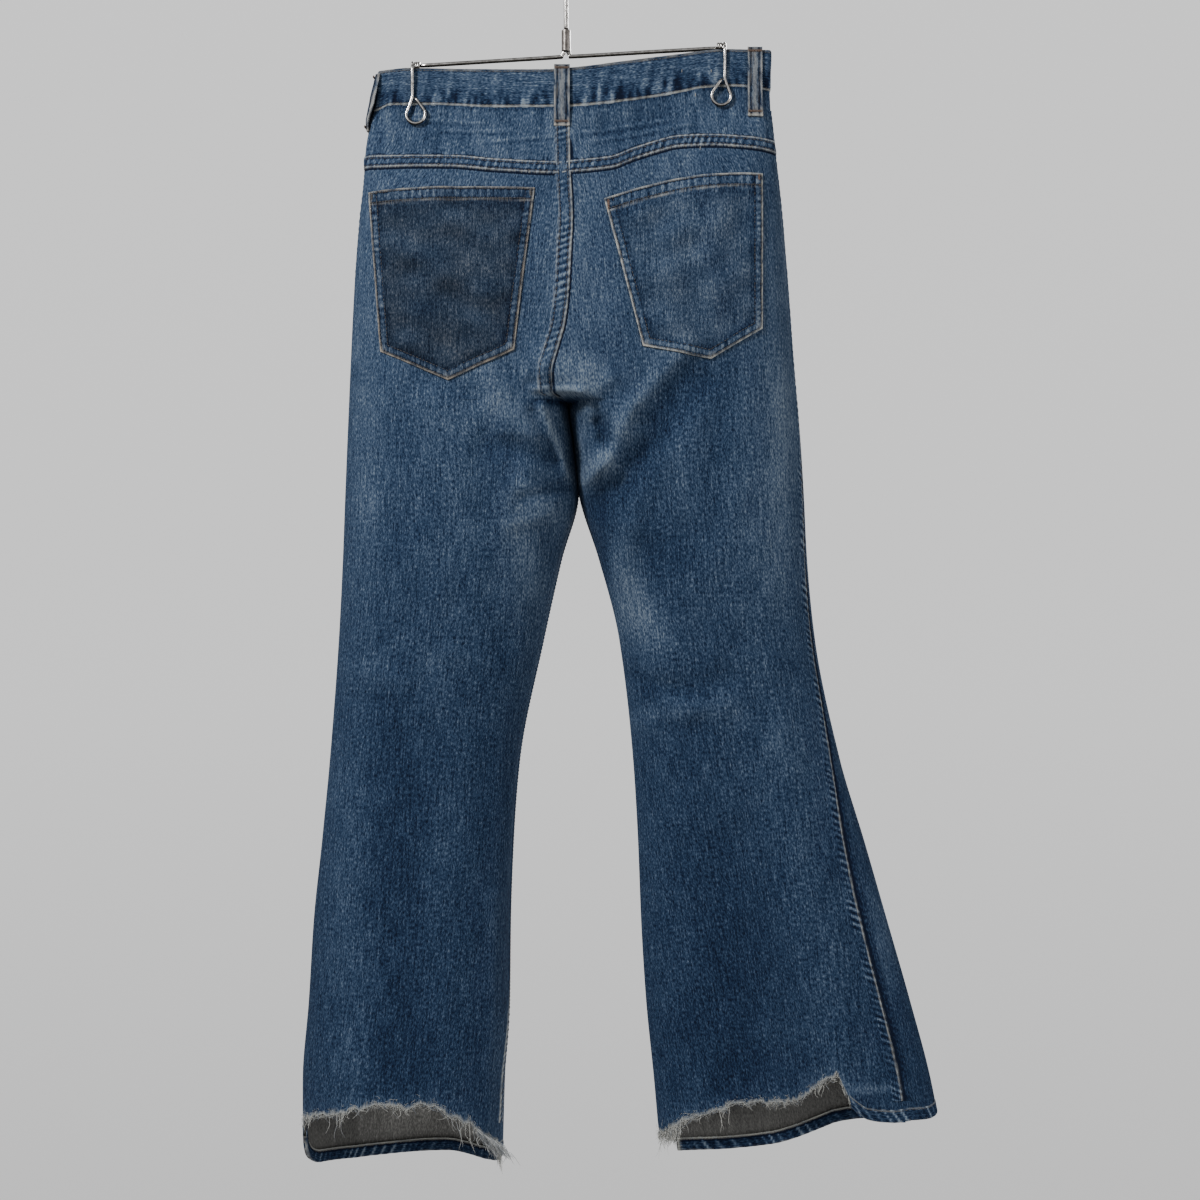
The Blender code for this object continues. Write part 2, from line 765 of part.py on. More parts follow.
def wall_grids(side, q, drop, wall, lift=0.0, q_low=-9.0, q_high=9.0):
    points = surface(side, q, drop)
    normal = normals(side, q, drop, q_low, q_high)
    return points + lift * normal, points + (lift - wall) * normal


def panel_limits(drop, back):
    """Normals are taken one-sided at the centre seam, above the crotch."""
    above = drop < CROTCH_DROP - 0.1 * MM
    if back:
        return -9.0, np.where(above, 1.0, 9.0)
    return np.where(above, -1.0, -9.0), 9.0


def back_grid(side):
    return panel_grid(side, True, back_shares(side), yoke_line, back_edge_line)


def front_grid(side):
    return panel_grid(side, False, FRONT_SHARES, mouth_line, front_hem_line)


def add_leg_panel(side, back):
    q, drop = back_grid(side) if back else front_grid(side)
    outside, inside = wall_grids(side, q, drop, CLOTH, 0, *panel_limits(drop, back))
    name = f"back_{side}" if back else f"front_{side}"
    add_wall(name, outside, inside, "denim")
    return outside, inside


def between_rows(first, last, count):
    """Rows of values spaced evenly from one row to another."""
    share = np.linspace(0, 1, count)[:, None]
    return first[None, :] + (last - first)[None, :] * share


def yoke_shares(side):
    panel = back_shares(side)
    return np.concatenate((panel[:1], FOLD_SHARES, panel[2:]))


def on_columns(side, shares, line, start):
    """A line read at a back panel's columns, and straight between them."""
    panel = back_shares(side)
    _, drops = settle(side, True, panel, line, np.full(len(panel), start))
    drop = np.interp(shares, panel, drops)
    return ring_places(side, True, shares, drop), drop


def add_yoke(side):
    shares = yoke_shares(side)
    q_top, top = on_columns(side, shares, waist_line, WAIST_LEVEL)
    q_low, low = on_columns(side, shares, yoke_line, YOKE_LEVEL)
    q = between_rows(q_top, q_low, 5)
    drop = between_rows(top + 0.5 * SEAM_GAP, low - 0.5 * SEAM_GAP, 5)
    outside, inside = wall_grids(side, q, drop, CLOTH, 0, -9, 1)
    return add_wall(f"yoke_{side}", outside, inside, "denim")


def add_pocket_facing(side):
    """The piece of denim that shows in a front pocket's mouth, under the front panel."""
    shares = np.array(FRONT_SHARES[: FACING_COLUMNS + 1])
    start = np.full(len(shares), MOUTH_LEVEL)
    q_top, top = settle(side, False, shares, waist_line, start)
    q_low, low = settle(side, False, shares, mouth_line, start)
    tuck = FACING_TUCK / half_length(side, False, start)[0]
    q_top[0] -= tuck
    q_low[0] -= tuck
    q = between_rows(q_top, q_low, 7)
    drop = between_rows(top + 0.5 * SEAM_GAP, low + FACING_UNDERLAP, 7)
    outside, inside = wall_grids(side, q, drop, CLOTH, -(CLOTH + FACING_UNDER), -1, 9)
    return add_wall(f"pocket_facing_{side}", outside, inside, "denim")


# ---------------------------------------------------------------- waistband, fly, zip, button
def waist_columns(side):
    """Ring places and drops of the waist seam, from the centre front round to the centre back."""
    front = np.array(FRONT_SHARES)
    q_front, front_drop = settle(side, False, front, waist_line, np.full(len(front), WAIST_LEVEL))
    q_back, back_drop = on_columns(side, yoke_shares(side), waist_line, WAIST_LEVEL)
    q = np.concatenate((q_front[::-1], q_back[1:]))
    return q, np.concatenate((front_drop[::-1], back_drop[1:]))


def band_column(side, q, seam_drop, lift):
    rows = 4
    top = waist_top_line(side, np.array(q))
    drop = top + (seam_drop - SEAM_GAP - top) * np.linspace(0, 1, rows)
    limits = (-9, 1) if q > 0 else (-1, 9)
    return wall_grids(side, np.full(rows, q), drop, BAND_WALL, lift, *limits)


def add_waistband():
    """One folded strip round the waist; its left end laps over its right end in front."""
    length = float(half_length("left", False, np.array(WAIST_TOP_LEVEL)))
    lap_lift = BAND_WALL + 2 * LIFT
    lap_run = 20 * MM
    columns = []
    for share in (1.0, 0.5, 0.06):
        q = -1 + FLY_OVERLAP / length * share
        columns.append(("right", q, float(waist_line("right", np.array(q))), lap_lift))
    q_left, drop_left = waist_columns("left")
    q_right, drop_right = waist_columns("right")
    for q, drop in zip(q_left, drop_left):
        lift = lap_lift * max(0.0, 1 - (q + 1) * length / lap_run)
        columns.append(("left", q, drop, lift))
    for q, drop in zip(q_right[-2::-1], drop_right[-2::-1]):
        columns.append(("right", q, drop, 0.0))
    walls = [band_column(*column_sizes) for column_sizes in columns]
    outside = np.stack([wall[0] for wall in walls], axis=1)
    inside = np.stack([wall[1] for wall in walls], axis=1)
    return add_wall("waistband", outside, inside, "denim")


def beside_centre(offset, level):
    """Side and ring place of a point in front, by its offset to the wearer's left of the centre."""
    side = "right" if offset < 0 else "left"
    return side, -1 + abs(offset) / half_length(side, False, level)


def front_rows(end):
    """The drops of the front panels' rows at the centre, down to an end."""
    _, drop = front_grid("left")
    rows = drop[:, -1]
    return np.concatenate((rows[rows < end - LAST_ROW], (end,)))


def add_front_strip(name, offsets, top_gap, length_at, wall, lift, finish):
    """A strip down the centre front, on the front panels' own rows."""
    outside = []
    inside = []
    rows = front_rows(WAIST_LEVEL + FLY_LENGTH)
    share = (rows - rows[0]) / (rows[-1] - rows[0])
    for offset in offsets:
        side, q = beside_centre(offset, np.array(YOKE_LEVEL))
        top = float(waist_line(side, np.array(q))) + top_gap
        drop = top + (length_at(offset) + rows[0] - top) * share
        q = beside_centre(offset, drop)[1]
        grids = wall_grids(side, q, drop, wall, lift, -1, 9)
        outside.append(grids[0])
        inside.append(grids[1])
    return add_wall(name, np.stack(outside, axis=1), np.stack(inside, axis=1), finish)


def add_fly():
    """The folded edge of the left front, lapped over the right one and rounded at its foot."""

    def length_at(offset):
        across = (offset + FLY_OVERLAP) / (FLY_WIDTH + FLY_OVERLAP)
        return FLY_LENGTH * (1 - FLY_ROUNDING * across**3)

    offsets = np.array(FLY_COLUMNS) * MM
    lift = CLOTH + UNDER
    add_front_strip("fly", offsets, 0.5 * SEAM_GAP, length_at, CLOTH, lift, "denim")


def add_zip():
    offsets = np.array(ZIP_COLUMNS) * ZIP_WIDTH
    under_fly = -(CLOTH + UNDER)
    add_front_strip("zip", offsets, ZIP_TOP, lambda offset: ZIP_LENGTH, ZIP_WALL, under_fly, "brass")


def add_button():
    drop = float(0.5 * (level_line(WAIST_TOP, BUTTON_X) + level_line(WAIST_SEAM, BUTTON_X)))
    point, normal = place(False, BUTTON_X, drop)
    seat = Vector(point) + Vector(normal) * (BAND_WALL + 3 * LIFT)
    profile = [(radius * MM, height * MM) for radius, height in BUTTON_PROFILE]
    return add_turned("button", profile, seat, normal, "brass")


# ---------------------------------------------------------------- pockets and loops on the back
def add_back_pocket(name, corners):
    *corners, bow = corners
    top_out, top_in, low_in, tip, low_out = (np.array(corner) * MM for corner in corners)
    outside = np.zeros((POCKET_ROWS, POCKET_COLUMNS, 3))
    inside = np.zeros((POCKET_ROWS, POCKET_COLUMNS, 3))
    for c in range(POCKET_COLUMNS):
        u = c / (POCKET_COLUMNS - 1)
        top = top_out + (top_in - top_out) * u
        top = top - np.array((0, bow * MM * math.sin(math.pi * u)))
        if u <= 0.5:
            bottom = low_out + (tip - low_out) * u * 2
        else:
            bottom = tip + (low_in - tip) * (u - 0.5) * 2
        for r in range(POCKET_ROWS):
            v = r / (POCKET_ROWS - 1)
            x, drop = top + (bottom - top) * v
            point, normal = place(True, x, drop)
            slack = POCKET_SLACK * math.sin(math.pi * u) * math.cos(0.5 * math.pi * v)
            outside[r, c] = point + (POCKET_LIFT + CLOTH + slack) * normal
            inside[r, c] = point + (POCKET_LIFT + slack) * normal
    return add_wall(name, outside, inside, "denim")


def add_belt_loop(name, back, x, top, bottom, width, stand_off):
    offsets = np.array(LOOP_COLUMNS) * width
    outside = np.zeros((LOOP_ROWS, len(offsets), 3))
    inside = np.zeros((LOOP_ROWS, len(offsets), 3))
    for c, offset in enumerate(offsets):
        for r in range(LOOP_ROWS):
            v = r / (LOOP_ROWS - 1)
            drop = top + (bottom - top) * v
            point, normal = place(back, x + offset, drop)
            lift = UNDER + stand_off * math.sin(math.pi * v) ** 0.7
            outside[r, c] = point + (lift + LOOP_WALL) * normal
            inside[r, c] = point + lift * normal
    return add_wall(name, outside, inside, "denim")


def add_side_loop():
    """The loop at the left outer fold, bowed well off the cloth."""
    sizes = {key: value * MM for key, value in SIDE_LOOP.items()}
    offsets = np.array(LOOP_COLUMNS) * sizes["width"] + sizes["along"]
    outside = np.zeros((LOOP_ROWS, len(offsets), 3))
    inside = np.zeros((LOOP_ROWS, len(offsets), 3))
    for c, offset in enumerate(offsets):
        for r in range(LOOP_ROWS):
            v = r / (LOOP_ROWS - 1)
            drop = np.array(sizes["top"] + (sizes["bottom"] - sizes["top"]) * v)
            q = offset / half_length("left", False, drop)
            point = surface("left", q, drop)
            normal = normals("left", q, drop)
            out = Vector(normal) + Vector((-SIDE_LOOP_TILT, 0, 0))
            out.normalize()
            lift = UNDER + sizes["stand_off"] * math.sin(math.pi * v**1.3) ** 0.8
            outside[r, c] = point + lift * np.array(out) + LOOP_WALL * normal
            inside[r, c] = point + lift * np.array(out)
    return add_wall("loop_side_left", outside, inside, "denim")


# ---------------------------------------------------------------- hems and fray
HEM_ENDS = {"left": 0.01, "right": 0.345}  # ring places where the heels' tears begin


def add_hem(side):
    """The turned-up hem, inside what is left of the leg's edge."""
    front_q, front_drop = front_grid(side)
    back_q, back_drop = back_grid(side)
    whole = back_q[-1] < HEM_ENDS[side]
    q_low = np.concatenate((front_q[-1][::-1], back_q[-1][whole]))
    low = np.concatenate((front_drop[-1][::-1], back_drop[-1][whole]))
    q = between_rows(q_low, q_low, 3)
    drop = between_rows(low, low - HEM_HEIGHT, 3)
    outside, inside = wall_grids(side, q, drop, CLOTH, -(CLOTH + UNDER))
    return add_wall(f"hem_{side}", outside, inside, "denim")


def torn_run(side, walls):
    """The torn stretch of a back panel's edge: its outer and inner corners."""
    outside, inside = walls
    q, _ = back_grid(side)
    torn = q[-1] > HEM_ENDS[side]
    return outside[-1][torn], inside[-1][torn]


def along_run(corners, count):
    """Points spaced evenly along a run of straight stretches."""
    steps = np.linalg.norm(np.diff(corners, axis=0), axis=1)
    reached = np.concatenate(((0.0,), np.cumsum(steps)))
    at = np.linspace(reached[0], reached[-1], count)
    return np.stack([np.interp(at, reached, corners[:, k]) for k in range(3)], axis=-1)


def add_fray(name, side, count, walls):
    """Threads of uneven length, rooted in a narrow strip just under a torn edge."""
    dice = random.Random(FRAY_SEED)
    outer, inner = torn_run(side, walls)
    out_top = along_run(outer, count + 1) - np.array((0, 0, FRAY_GAP))
    in_top = along_run(inner, count + 1) - np.array((0, 0, FRAY_GAP))
    drop = np.array((0, 0, FRAY_BACKING))
    bm = bmesh.new()
    ladder = []
    for grid in (out_top, out_top - drop, in_top - drop, in_top):
        ladder.append([bm.verts.new(point) for point in grid])
    for c in range(count):
        for a, b in ((0, 1), (2, 3), (3, 0)):
            bm.faces.new((ladder[a][c], ladder[a][c + 1], ladder[b][c + 1], ladder[b][c]))
    for c in (0, count):
        bm.faces.new([row[c] for row in ladder])
    lean = 0.0
    for c in range(count):
        root = (ladder[1][c], ladder[1][c + 1], ladder[2][c + 1], ladder[2][c])
        middle = sum((corner.co for corner in root), Vector()) / 4
        along = ladder[1][c + 1].co - ladder[1][c].co
        lean = FRAY_STEADINESS * lean + (1 - FRAY_STEADINESS) * dice.uniform(-1, 1)
        length = dice.uniform(*FRAY_LENGTHS)
        if c % TUFT_EVERY == TUFT_EVERY // 2:
            length = dice.uniform(*TUFT_LENGTHS)
        sway = along * lean * FRAY_LEAN
        half = middle + Vector((0, 0, -0.5 * length)) + 0.4 * sway
        ring = [bm.verts.new(half + FRAY_WAIST * (corner.co - middle)) for corner in root]
        end = bm.verts.new(middle + Vector((0, 0, -length)) + sway)
        for k in range(4):
            n = (k + 1) % 4
            bm.faces.new((root[k], root[n], ring[n], ring[k]))
            bm.faces.new((ring[k], ring[n], end))
    return add_object(name, bm, "thread")


# ---------------------------------------------------------------- hanger
def hook_route():
    """A crook over the rail, then a straight stem in line with the crown."""
    centre = Vector((0, 0, -(HOOK_BEND - HOOK_WIRE)))
    points = []
    first, last, step = HOOK_TURN
    for degrees in range(first, last + step, step):
        angle = math.radians(degrees)
        points.append(centre + HOOK_BEND * Vector((math.cos(angle), 0, math.sin(angle))))
    tail = points[-1]
    stem_top = Vector((0, 0, -STEM_TOP))
    for share in (0.35, 0.7):
        bend = tail.lerp(stem_top, share)
        points.append(bend - Vector((STEM_SWAY * math.sin(math.pi * share), 0, 0)))
    points.append(stem_top)
    points.append(Vector((0, 0, -(COLLAR_TOP - LIFT))))
    return points


def add_hanger():
    add_wire("hanger_hook", hook_route(), HOOK_WIRE, "steel", 10)
    profile = [(radius * MM, height * MM) for radius, height in COLLAR_PROFILE]
    foot = (0, 0, -COLLAR_BOTTOM)
    add_turned("hanger_collar", profile, foot, (0, 0, 1), "steel", 16)
    route = [(x * MM, 0, -drop * MM) for x, drop in BAR_ROUTE]
    add_wire("hanger_bar", route, BAR_WIRE, "steel", 8)


def clip_face(x, bar_drop, eye_drop, lean, back):
    """Half of a clip: from above the bar down one face of the waistband to its drop-shaped eye."""
    points = []
    out = -1 if back else 1
    foot = eye_drop + EYE_LENGTH
    middle = Vector((x + lean * EYE_OFFSET, 0, -(foot - EYE_RADIUS)))
    shape = [Vector((x, 0, -(bar_drop + CLIP_ENDS))), Vector((x, 0, -(eye_drop - CLIP_ENDS)))]
    shape.append(Vector((x, 0, -eye_drop)))
    for degrees in EYE_TURN:
        angle = math.radians(degrees)
        rim = Vector((lean * math.cos(angle), 0, math.sin(angle)))
        shape.append(middle + EYE_RADIUS * rim)
    shape.append(Vector((x + lean * EYE_END, 0, -(eye_drop + CLIP_GAP))))
    for point in shape:
        drop = -point.z
        on_cloth, _ = place(back, point.x, drop)
        depth = abs(on_cloth[1]) + CLIP_OFF + CLIP_WIRE
        points.append(Vector((point.x, out * depth, point.z)))
    return points


def add_clip(name, x, bar_drop, eye_drop, lean):
    x, bar_drop, eye_drop = x * MM, bar_drop * MM, eye_drop * MM
    back = clip_face(x, bar_drop, eye_drop, lean, True)
    front = clip_face(x, bar_drop, eye_drop, lean, False)
    over = BAR_WIRE + CLIP_WIRE + LIFT
    bridge = []
    for degrees in (180, 150, 120, 90, 60, 30, 0):
        angle = math.radians(degrees)
        bridge.append(
            Vector((x, over * CLIP_ARCH * math.cos(angle), -bar_drop + over * math.sin(angle)))
        )
    add_wire(name, list(reversed(back)) + bridge + front, CLIP_WIRE, "steel", 6)


# ---------------------------------------------------------------- build
def main():
    for old in list(bpy.data.objects):
        bpy.data.objects.remove(old, do_unlink=True)
    for side in ("left", "right"):
        back_walls = add_leg_panel(side, True)
        add_leg_panel(side, False)
        add_yoke(side)
        add_pocket_facing(side)
        add_hem(side)
        add_fray(f"fray_{side}", side, FRAY_THREADS[side], back_walls)
    add_waistband()
    add_fly()
    add_zip()
    add_button()
    for name, corners in BACK_POCKETS.items():
        add_back_pocket(name, corners)
    for name, face, *sizes in BELT_LOOPS:
        add_belt_loop(name, face == "back", *(size * MM for size in sizes))
    add_side_loop()
    add_hanger()
    for name, sizes in CLIPS.items():
        add_clip(name, *sizes)


main()
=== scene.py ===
"""The looks of the flared jeans on their wire trouser hanger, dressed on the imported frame.

Frame: metres, +Z up, origin inside the hook's crown. The back of the jeans faces -Y. Left and
right are the wearer's. Tables are in millimetres, and "drop" is the distance below the origin.

The cloth is worked out from the same sections as the solids, only finer: each half of the garment
is a ring at every drop, where q runs from 0 at the outer fold to 1 at the inner edge along the
back, and to -1 along the front.
"""

import math

import bpy
import numpy as np
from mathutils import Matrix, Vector


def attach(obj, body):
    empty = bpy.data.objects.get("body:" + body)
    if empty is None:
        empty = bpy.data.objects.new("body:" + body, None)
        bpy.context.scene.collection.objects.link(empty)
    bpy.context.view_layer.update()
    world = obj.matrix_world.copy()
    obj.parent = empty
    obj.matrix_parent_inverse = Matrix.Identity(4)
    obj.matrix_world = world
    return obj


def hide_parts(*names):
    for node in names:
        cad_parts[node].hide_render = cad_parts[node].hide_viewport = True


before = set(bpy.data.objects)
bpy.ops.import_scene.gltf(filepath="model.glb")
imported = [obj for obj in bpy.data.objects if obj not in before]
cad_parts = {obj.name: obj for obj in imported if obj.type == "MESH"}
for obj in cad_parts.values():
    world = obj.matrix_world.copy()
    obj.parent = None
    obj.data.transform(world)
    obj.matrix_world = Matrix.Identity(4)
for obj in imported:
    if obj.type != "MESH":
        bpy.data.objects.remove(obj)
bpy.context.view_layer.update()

MM = 0.001

# ---------------------------------------------------------------- driving sizes
CLOTH = 1.2 * MM  # wall of one layer of denim
BAND_WALL = 2.4 * MM  # the waistband is folded double
LOOP_WALL = 1.6 * MM
LIFT = 0.3 * MM  # between hard pieces and what they touch
UNDER = 0.8 * MM  # between two layers of cloth, clear of their facets
FACING_UNDER = 1.0 * MM  # the same, under the steep curve of a pocket's mouth
CROTCH_DROP = 440 * MM  # where the four panels meet
RISE_START = 378 * MM  # the centre seams start to turn under here
SEAT_HANG = 3.4  # 2 turns under in a round arc; more hangs straight, then turns sharply
POCKET_LIFT = 0.9 * MM  # clear of the seat's facets
POCKET_SLACK = 1.2 * MM  # how far the mouth of a back pocket stands off in the middle

WAIST_TOP_LEVEL = 118 * MM  # mean drops of the level lines of the cut
WAIST_LEVEL = 150 * MM
YOKE_LEVEL = 200 * MM
MOUTH_LEVEL = 165 * MM
HEM_LEVEL = 1150 * MM

# ---------------------------------------------------------------- the body's sections, in mm
# reach: how far in from the edge the section is rounded
LEFT_ROWS = (
    # drop, outer, inner, back, front, reach, inner_reach
    (112, -180, 2, 3.6, 3.6, 3.6, 30), (152, -183, 2, 4.3, 4.3, 4.3, 30),
    (172, -188, 2, 7, 7, 12, 30), (196, -192, 2, 13, 11, 34, 30), (226, -194, 3, 23, 18, 66, 30),
    (262, -198, 4, 34, 26, 96, 30), (320, -202.6, 3, 46, 36, 124, 30),
    (396, -206.4, 1, 54, 41, 138, 34), (440, -208.3, 2.6, 56, 43, 138, 38),
    (476, -209.8, 7.0, 54.8, 43.6, 130, 49), (524, -211.7, 11.4, 52.5, 44, 116, 66),
    (588, -214.1, -4.8, 50, 43, 106, 92), (665, -218, -22, 46, 40, 100, 90),
    (780, -226.6, -45, 42, 36, 90, 88), (857, -234, -51, 43, 38, 90, 88),
    (934, -242, -53.8, 46, 41, 92, 90), (1011, -246.7, -54.7, 51, 46, 94, 92),
    (1088, -252.5, -58.6, 58, 52, 96, 94), (1175, -252, -61, 62, 56, 96, 92),
)
RIGHT_ROWS = (
    # drop, outer, inner, back, front, reach, inner_reach
    (94, 197.5, 2, 3.6, 3.6, 3.6, 30), (136, 195.5, 2, 4.3, 4.3, 4.3, 30),
    (152, 196, 2, 5.5, 5.5, 8, 30), (176, 198.5, 2, 11, 10, 26, 30),
    (206, 201.5, 2.5, 20, 16, 56, 30), (246, 206, 4, 31, 24, 88, 30),
    (320, 212.2, 3, 46, 36, 124, 30), (396, 217.9, 1, 54, 41, 138, 34),
    (440, 221.8, 2.2, 56, 43, 138, 38), (476, 224.8, 6.8, 54.8, 43.6, 130, 50),
    (524, 228.1, 12.4, 52.2, 43.6, 116, 68), (588, 231.4, 31.7, 47, 41, 104, 90),
    (665, 239, 51, 38, 33, 96, 88), (780, 263, 64.3, 28, 24, 96, 92),
    (857, 286, 69, 25, 20, 96, 90), (934, 308.2, 72, 23, 17, 96, 88),
    (1011, 330.2, 76.8, 21, 15, 98, 88), (1088, 350.4, 84.5, 20, 14, 100, 88),
    (1175, 366, 92, 20, 14, 100, 88),
)
CENTRE_SEAM = (
    # drop, back_x, front_x
    (94, 2, 2), (173, 2.6, 2), (216, 3.5, 2), (268, 5.8, 2), (301, 4.4, 2), (335, 2.7, 2),
    (367, -1, 2), (392, -7.5, 2), (416, -13, 2), (432, -12, 2), (440, 2, 2),
)
# Where the outseam and inseam lie, from the outer and inner fold along the cloth: + on the back
LEFT_SEAMS = (
    # drop, side, inseam
    (112, -10, 0), (230, -10, 0), (440, -22, 0), (620, -36, 2), (860, -62, 4), (1015, -72, 8),
    (1090, -77, 20), (1170, -82, 25),
)
RIGHT_SEAMS = (
    # drop, side, inseam
    (94, -6, 0), (230, -5, 0), (330, 1, 0), (416, 8, 0), (446, 10, 0), (510, 20, -4),
    (620, 24, -10), (700, 25, -16), (783, 34, -22), (857, 48, -26), (929, 54, -30), (1046, 58, -36),
    (1170, 63, -40),
)

# ---------------------------------------------------------------- level lines of the cut, in mm
WAIST_TOP = (
    # x, drop
    (-200, 121), (-181, 120), (-150, 117), (-104, 118), (-23, 119), (8, 117), (50, 111.5),
    (106, 104), (150, 99), (200, 100),
)
WAIST_SEAM = (
    # x, drop
    (-200, 161), (-180, 158.7), (-167, 153), (-121, 153), (-80, 155.4), (-11, 156.5), (6, 156),
    (67, 148.8), (105, 142), (138, 136), (162, 135.2), (200, 140),
)
YOKE_SEAM = (
    # x, drop
    (-205, 204), (-190, 203), (-166, 204), (-108, 204.5), (-72, 208), (-8, 212), (6, 210.7),
    (42, 206.5), (64, 198), (88, 190), (111, 184.5), (135, 183.5), (184, 186), (205, 189),
)

# ---------------------------------------------------------------- the largest folds, in mm
BACK_FOLDS = (
    # x1, drop1, x2, drop2, half_width, height: + stands out from the leg
    (-14, 408, 14, 422, 18, 8),  # the seat's overhang above the crotch
    (117, 421, 33, 533, 18, -8),  # long trough across the right thigh
    (24, 512, 74, 474, 17, 6), (30, 462, 36, 478, 11, -6), (-66, 448, -24, 468, 15, 4),
    (-70, 482, -12, 508, 16, -4), (-36, 520, -8, 552, 15, 4), (42, 175, 84, 172, 14, -3),
    (74, 716, 160, 700, 12, -2.5), (70, 742, 150, 728, 12, 2.5), (-66, 910, -68, 1120, 8, 3.5),
    (150, 420, 60, 620, 30, -3), (205, 760, 262, 1090, 26, 3), (150, 860, 168, 1110, 30, -4),
    (-210, 820, -196, 1100, 24, 3), (-150, 760, -150, 1090, 30, -3),
)
FRONT_FOLDS = (
    # x1, drop1, x2, drop2, half_width, height
    (10, 400, 84, 372, 14, 4), (14, 428, 92, 410, 13, -4), (-6, 402, -78, 376, 14, 4),
    (-10, 430, -88, 408, 13, -4), (-70, 740, -190, 716, 14, 3), (-66, 770, -180, 752, 14, -3),
    (90, 736, 200, 716, 14, 3), (-150, 850, -140, 1120, 28, 4), (200, 840, 226, 1100, 28, 3),
)
BETWEEN_CLIPS = (0, 168, 118, 6)  # x, drop, half width and height of the slack between the clips

# ---------------------------------------------------------------- hems and torn heels, in mm
LEFT_FRONT_HEM = (
    # q, drop
    (-1.02, 1154), (-0.9, 1169), (-0.8, 1171), (-0.66, 1167), (-0.42, 1172), (-0.3, 1174),
)
LEFT_BACK_EDGE = (
    # q, drop: the hem is whole round the outer fold and torn away behind the heel
    (-0.34, 1174), (-0.13, 1172), (-0.05, 1163), (-0.005, 1150), (0.02, 1125), (0.1, 1118),
    (0.22, 1112), (0.34, 1104), (0.45, 1096), (0.52, 1101), (0.58, 1097), (0.67, 1108),
    (0.75, 1118), (0.81, 1133), (0.9, 1142), (1.0, 1147),
)
RIGHT_FRONT_HEM = (
    # q, drop
    (-1.02, 1150), (-0.9, 1156), (-0.72, 1156), (-0.57, 1150), (-0.5, 1144), (-0.42, 1135),
    (-0.36, 1128), (-0.2, 1121), (0.0, 1117), (0.105, 1122),
)
RIGHT_BACK_EDGE = (
    # q, drop: whole beside the side seam, then torn away to the inseam
    (0.1, 1122), (0.2, 1125), (0.3, 1122), (0.335, 1116), (0.352, 1094), (0.368, 1076), (0.4, 1083),
    (0.45, 1093), (0.5, 1102), (0.6, 1106), (0.69, 1105), (0.76, 1115), (0.84, 1124), (0.92, 1135),
    (0.965, 1137), (0.995, 1139), (1.025, 1141), (1.07, 1144), (1.15, 1148),
)

# ---------------------------------------------------------------- sewn-on pieces, in mm
BACK_POCKETS = {
    # top outer, top inner, bottom inner, tip and bottom outer corner, each (x, drop), and how
    # far the top edge bows up
    "back_pocket_left": (
        (-187.5, 238.6), (-29, 237.5), (-47.6, 394), (-109, 421.7), (-174, 393), 1
    ),
    "back_pocket_right": (
        (187, 221.5), (36.5, 248.5), (72.7, 390), (136.5, 401.3), (185.5, 371), 7
    ),
}
BELT_LOOPS = (
    # name, side of the garment, x, from, to, width, stand-off
    ("loop_centre_back", "back", -3.8, 115, 176, 15, 1.2),
    ("loop_side_right", "back", 181, 97.5, 165, 14, 1.0),
    ("loop_front_left", "front", -92, 117, 172, 14, 1.0),
    ("loop_front_right", "front", 98, 105, 156, 14, 1.0),
)
SIDE_LOOP = {"along": -5.5, "width": 13, "top": 123, "bottom": 178, "stand_off": 4.5}
MOUTH_DEPTH = 74 * MM  # of the front pockets' mouths, at the side seam
MOUTH_WIDTH = 96 * MM
FACING_UNDERLAP = 7 * MM
FLY_WIDTH = 36 * MM
FLY_LENGTH = 172 * MM
FLY_OVERLAP = 12 * MM
ZIP_LENGTH = 126 * MM

# ---------------------------------------------------------------- the hanger
HOOK_WIRE = 2.2 * MM  # radius
HOOK_BEND = 20 * MM  # radius of the bend's centre line
COLLAR_TOP = 80 * MM
COLLAR_BOTTOM = 101 * MM
COLLAR_RADIUS = 4.3 * MM
BAR_WIRE = 2.0 * MM
BAR_ROUTE = (
    # x, drop: the bar's centre line, bent up into the collar in the middle
    (-139, 114.4), (-60, 109.2), (-9, 106.0), (-4.2, 104.6), (0, 103.4), (4.2, 104.4), (9, 105.2),
    (70, 101.6), (144, 97.2),
)
CLIP_WIRE = 1.15 * MM
CLIPS = {
    # x of the upright, drop of the bar there, drop where the drop-shaped eye starts, its lean
    "hanger_clip_left": (-147, 115, 146, 1),
    "hanger_clip_right": (152, 96.5, 128, -1),
}
EYE_LENGTH = 26 * MM
EYE_RADIUS = 9 * MM


# ---------------------------------------------------------------- curves through short tables
def smooth(knots, values, at):
    """A cubic curve through a table's points that never swings past them."""
    at = np.clip(np.asarray(at, float), knots[0], knots[-1])
    rise = np.diff(values) / np.diff(knots)
    before, after = rise[:-1], rise[1:]
    same_way = before * after > 0
    total = np.where(same_way, before + after, 1)
    slope = np.zeros(len(values))
    slope[1:-1] = np.where(same_way, 2 * before * after / total, 0)
    slope[0], slope[-1] = rise[0], rise[-1]
    step = np.clip(np.searchsorted(knots, at, side="right") - 1, 0, len(knots) - 2)
    width = knots[step + 1] - knots[step]
    t = (at - knots[step]) / width
    return (
        (1 + 2 * t) * (1 - t) ** 2 * values[step]
        + t * (1 - t) ** 2 * width * slope[step]
        + t * t * (3 - 2 * t) * values[step + 1]
        + t * t * (t - 1) * width * slope[step + 1]
    )


def column(rows, index, at):
    """One column of a table in mm, read at places in metres and given in metres."""
    table = np.asarray(rows, float) * MM
    return smooth(table[:, 0], table[:, index], at)


def level_line(rows, x):
    return column(rows, 1, x)


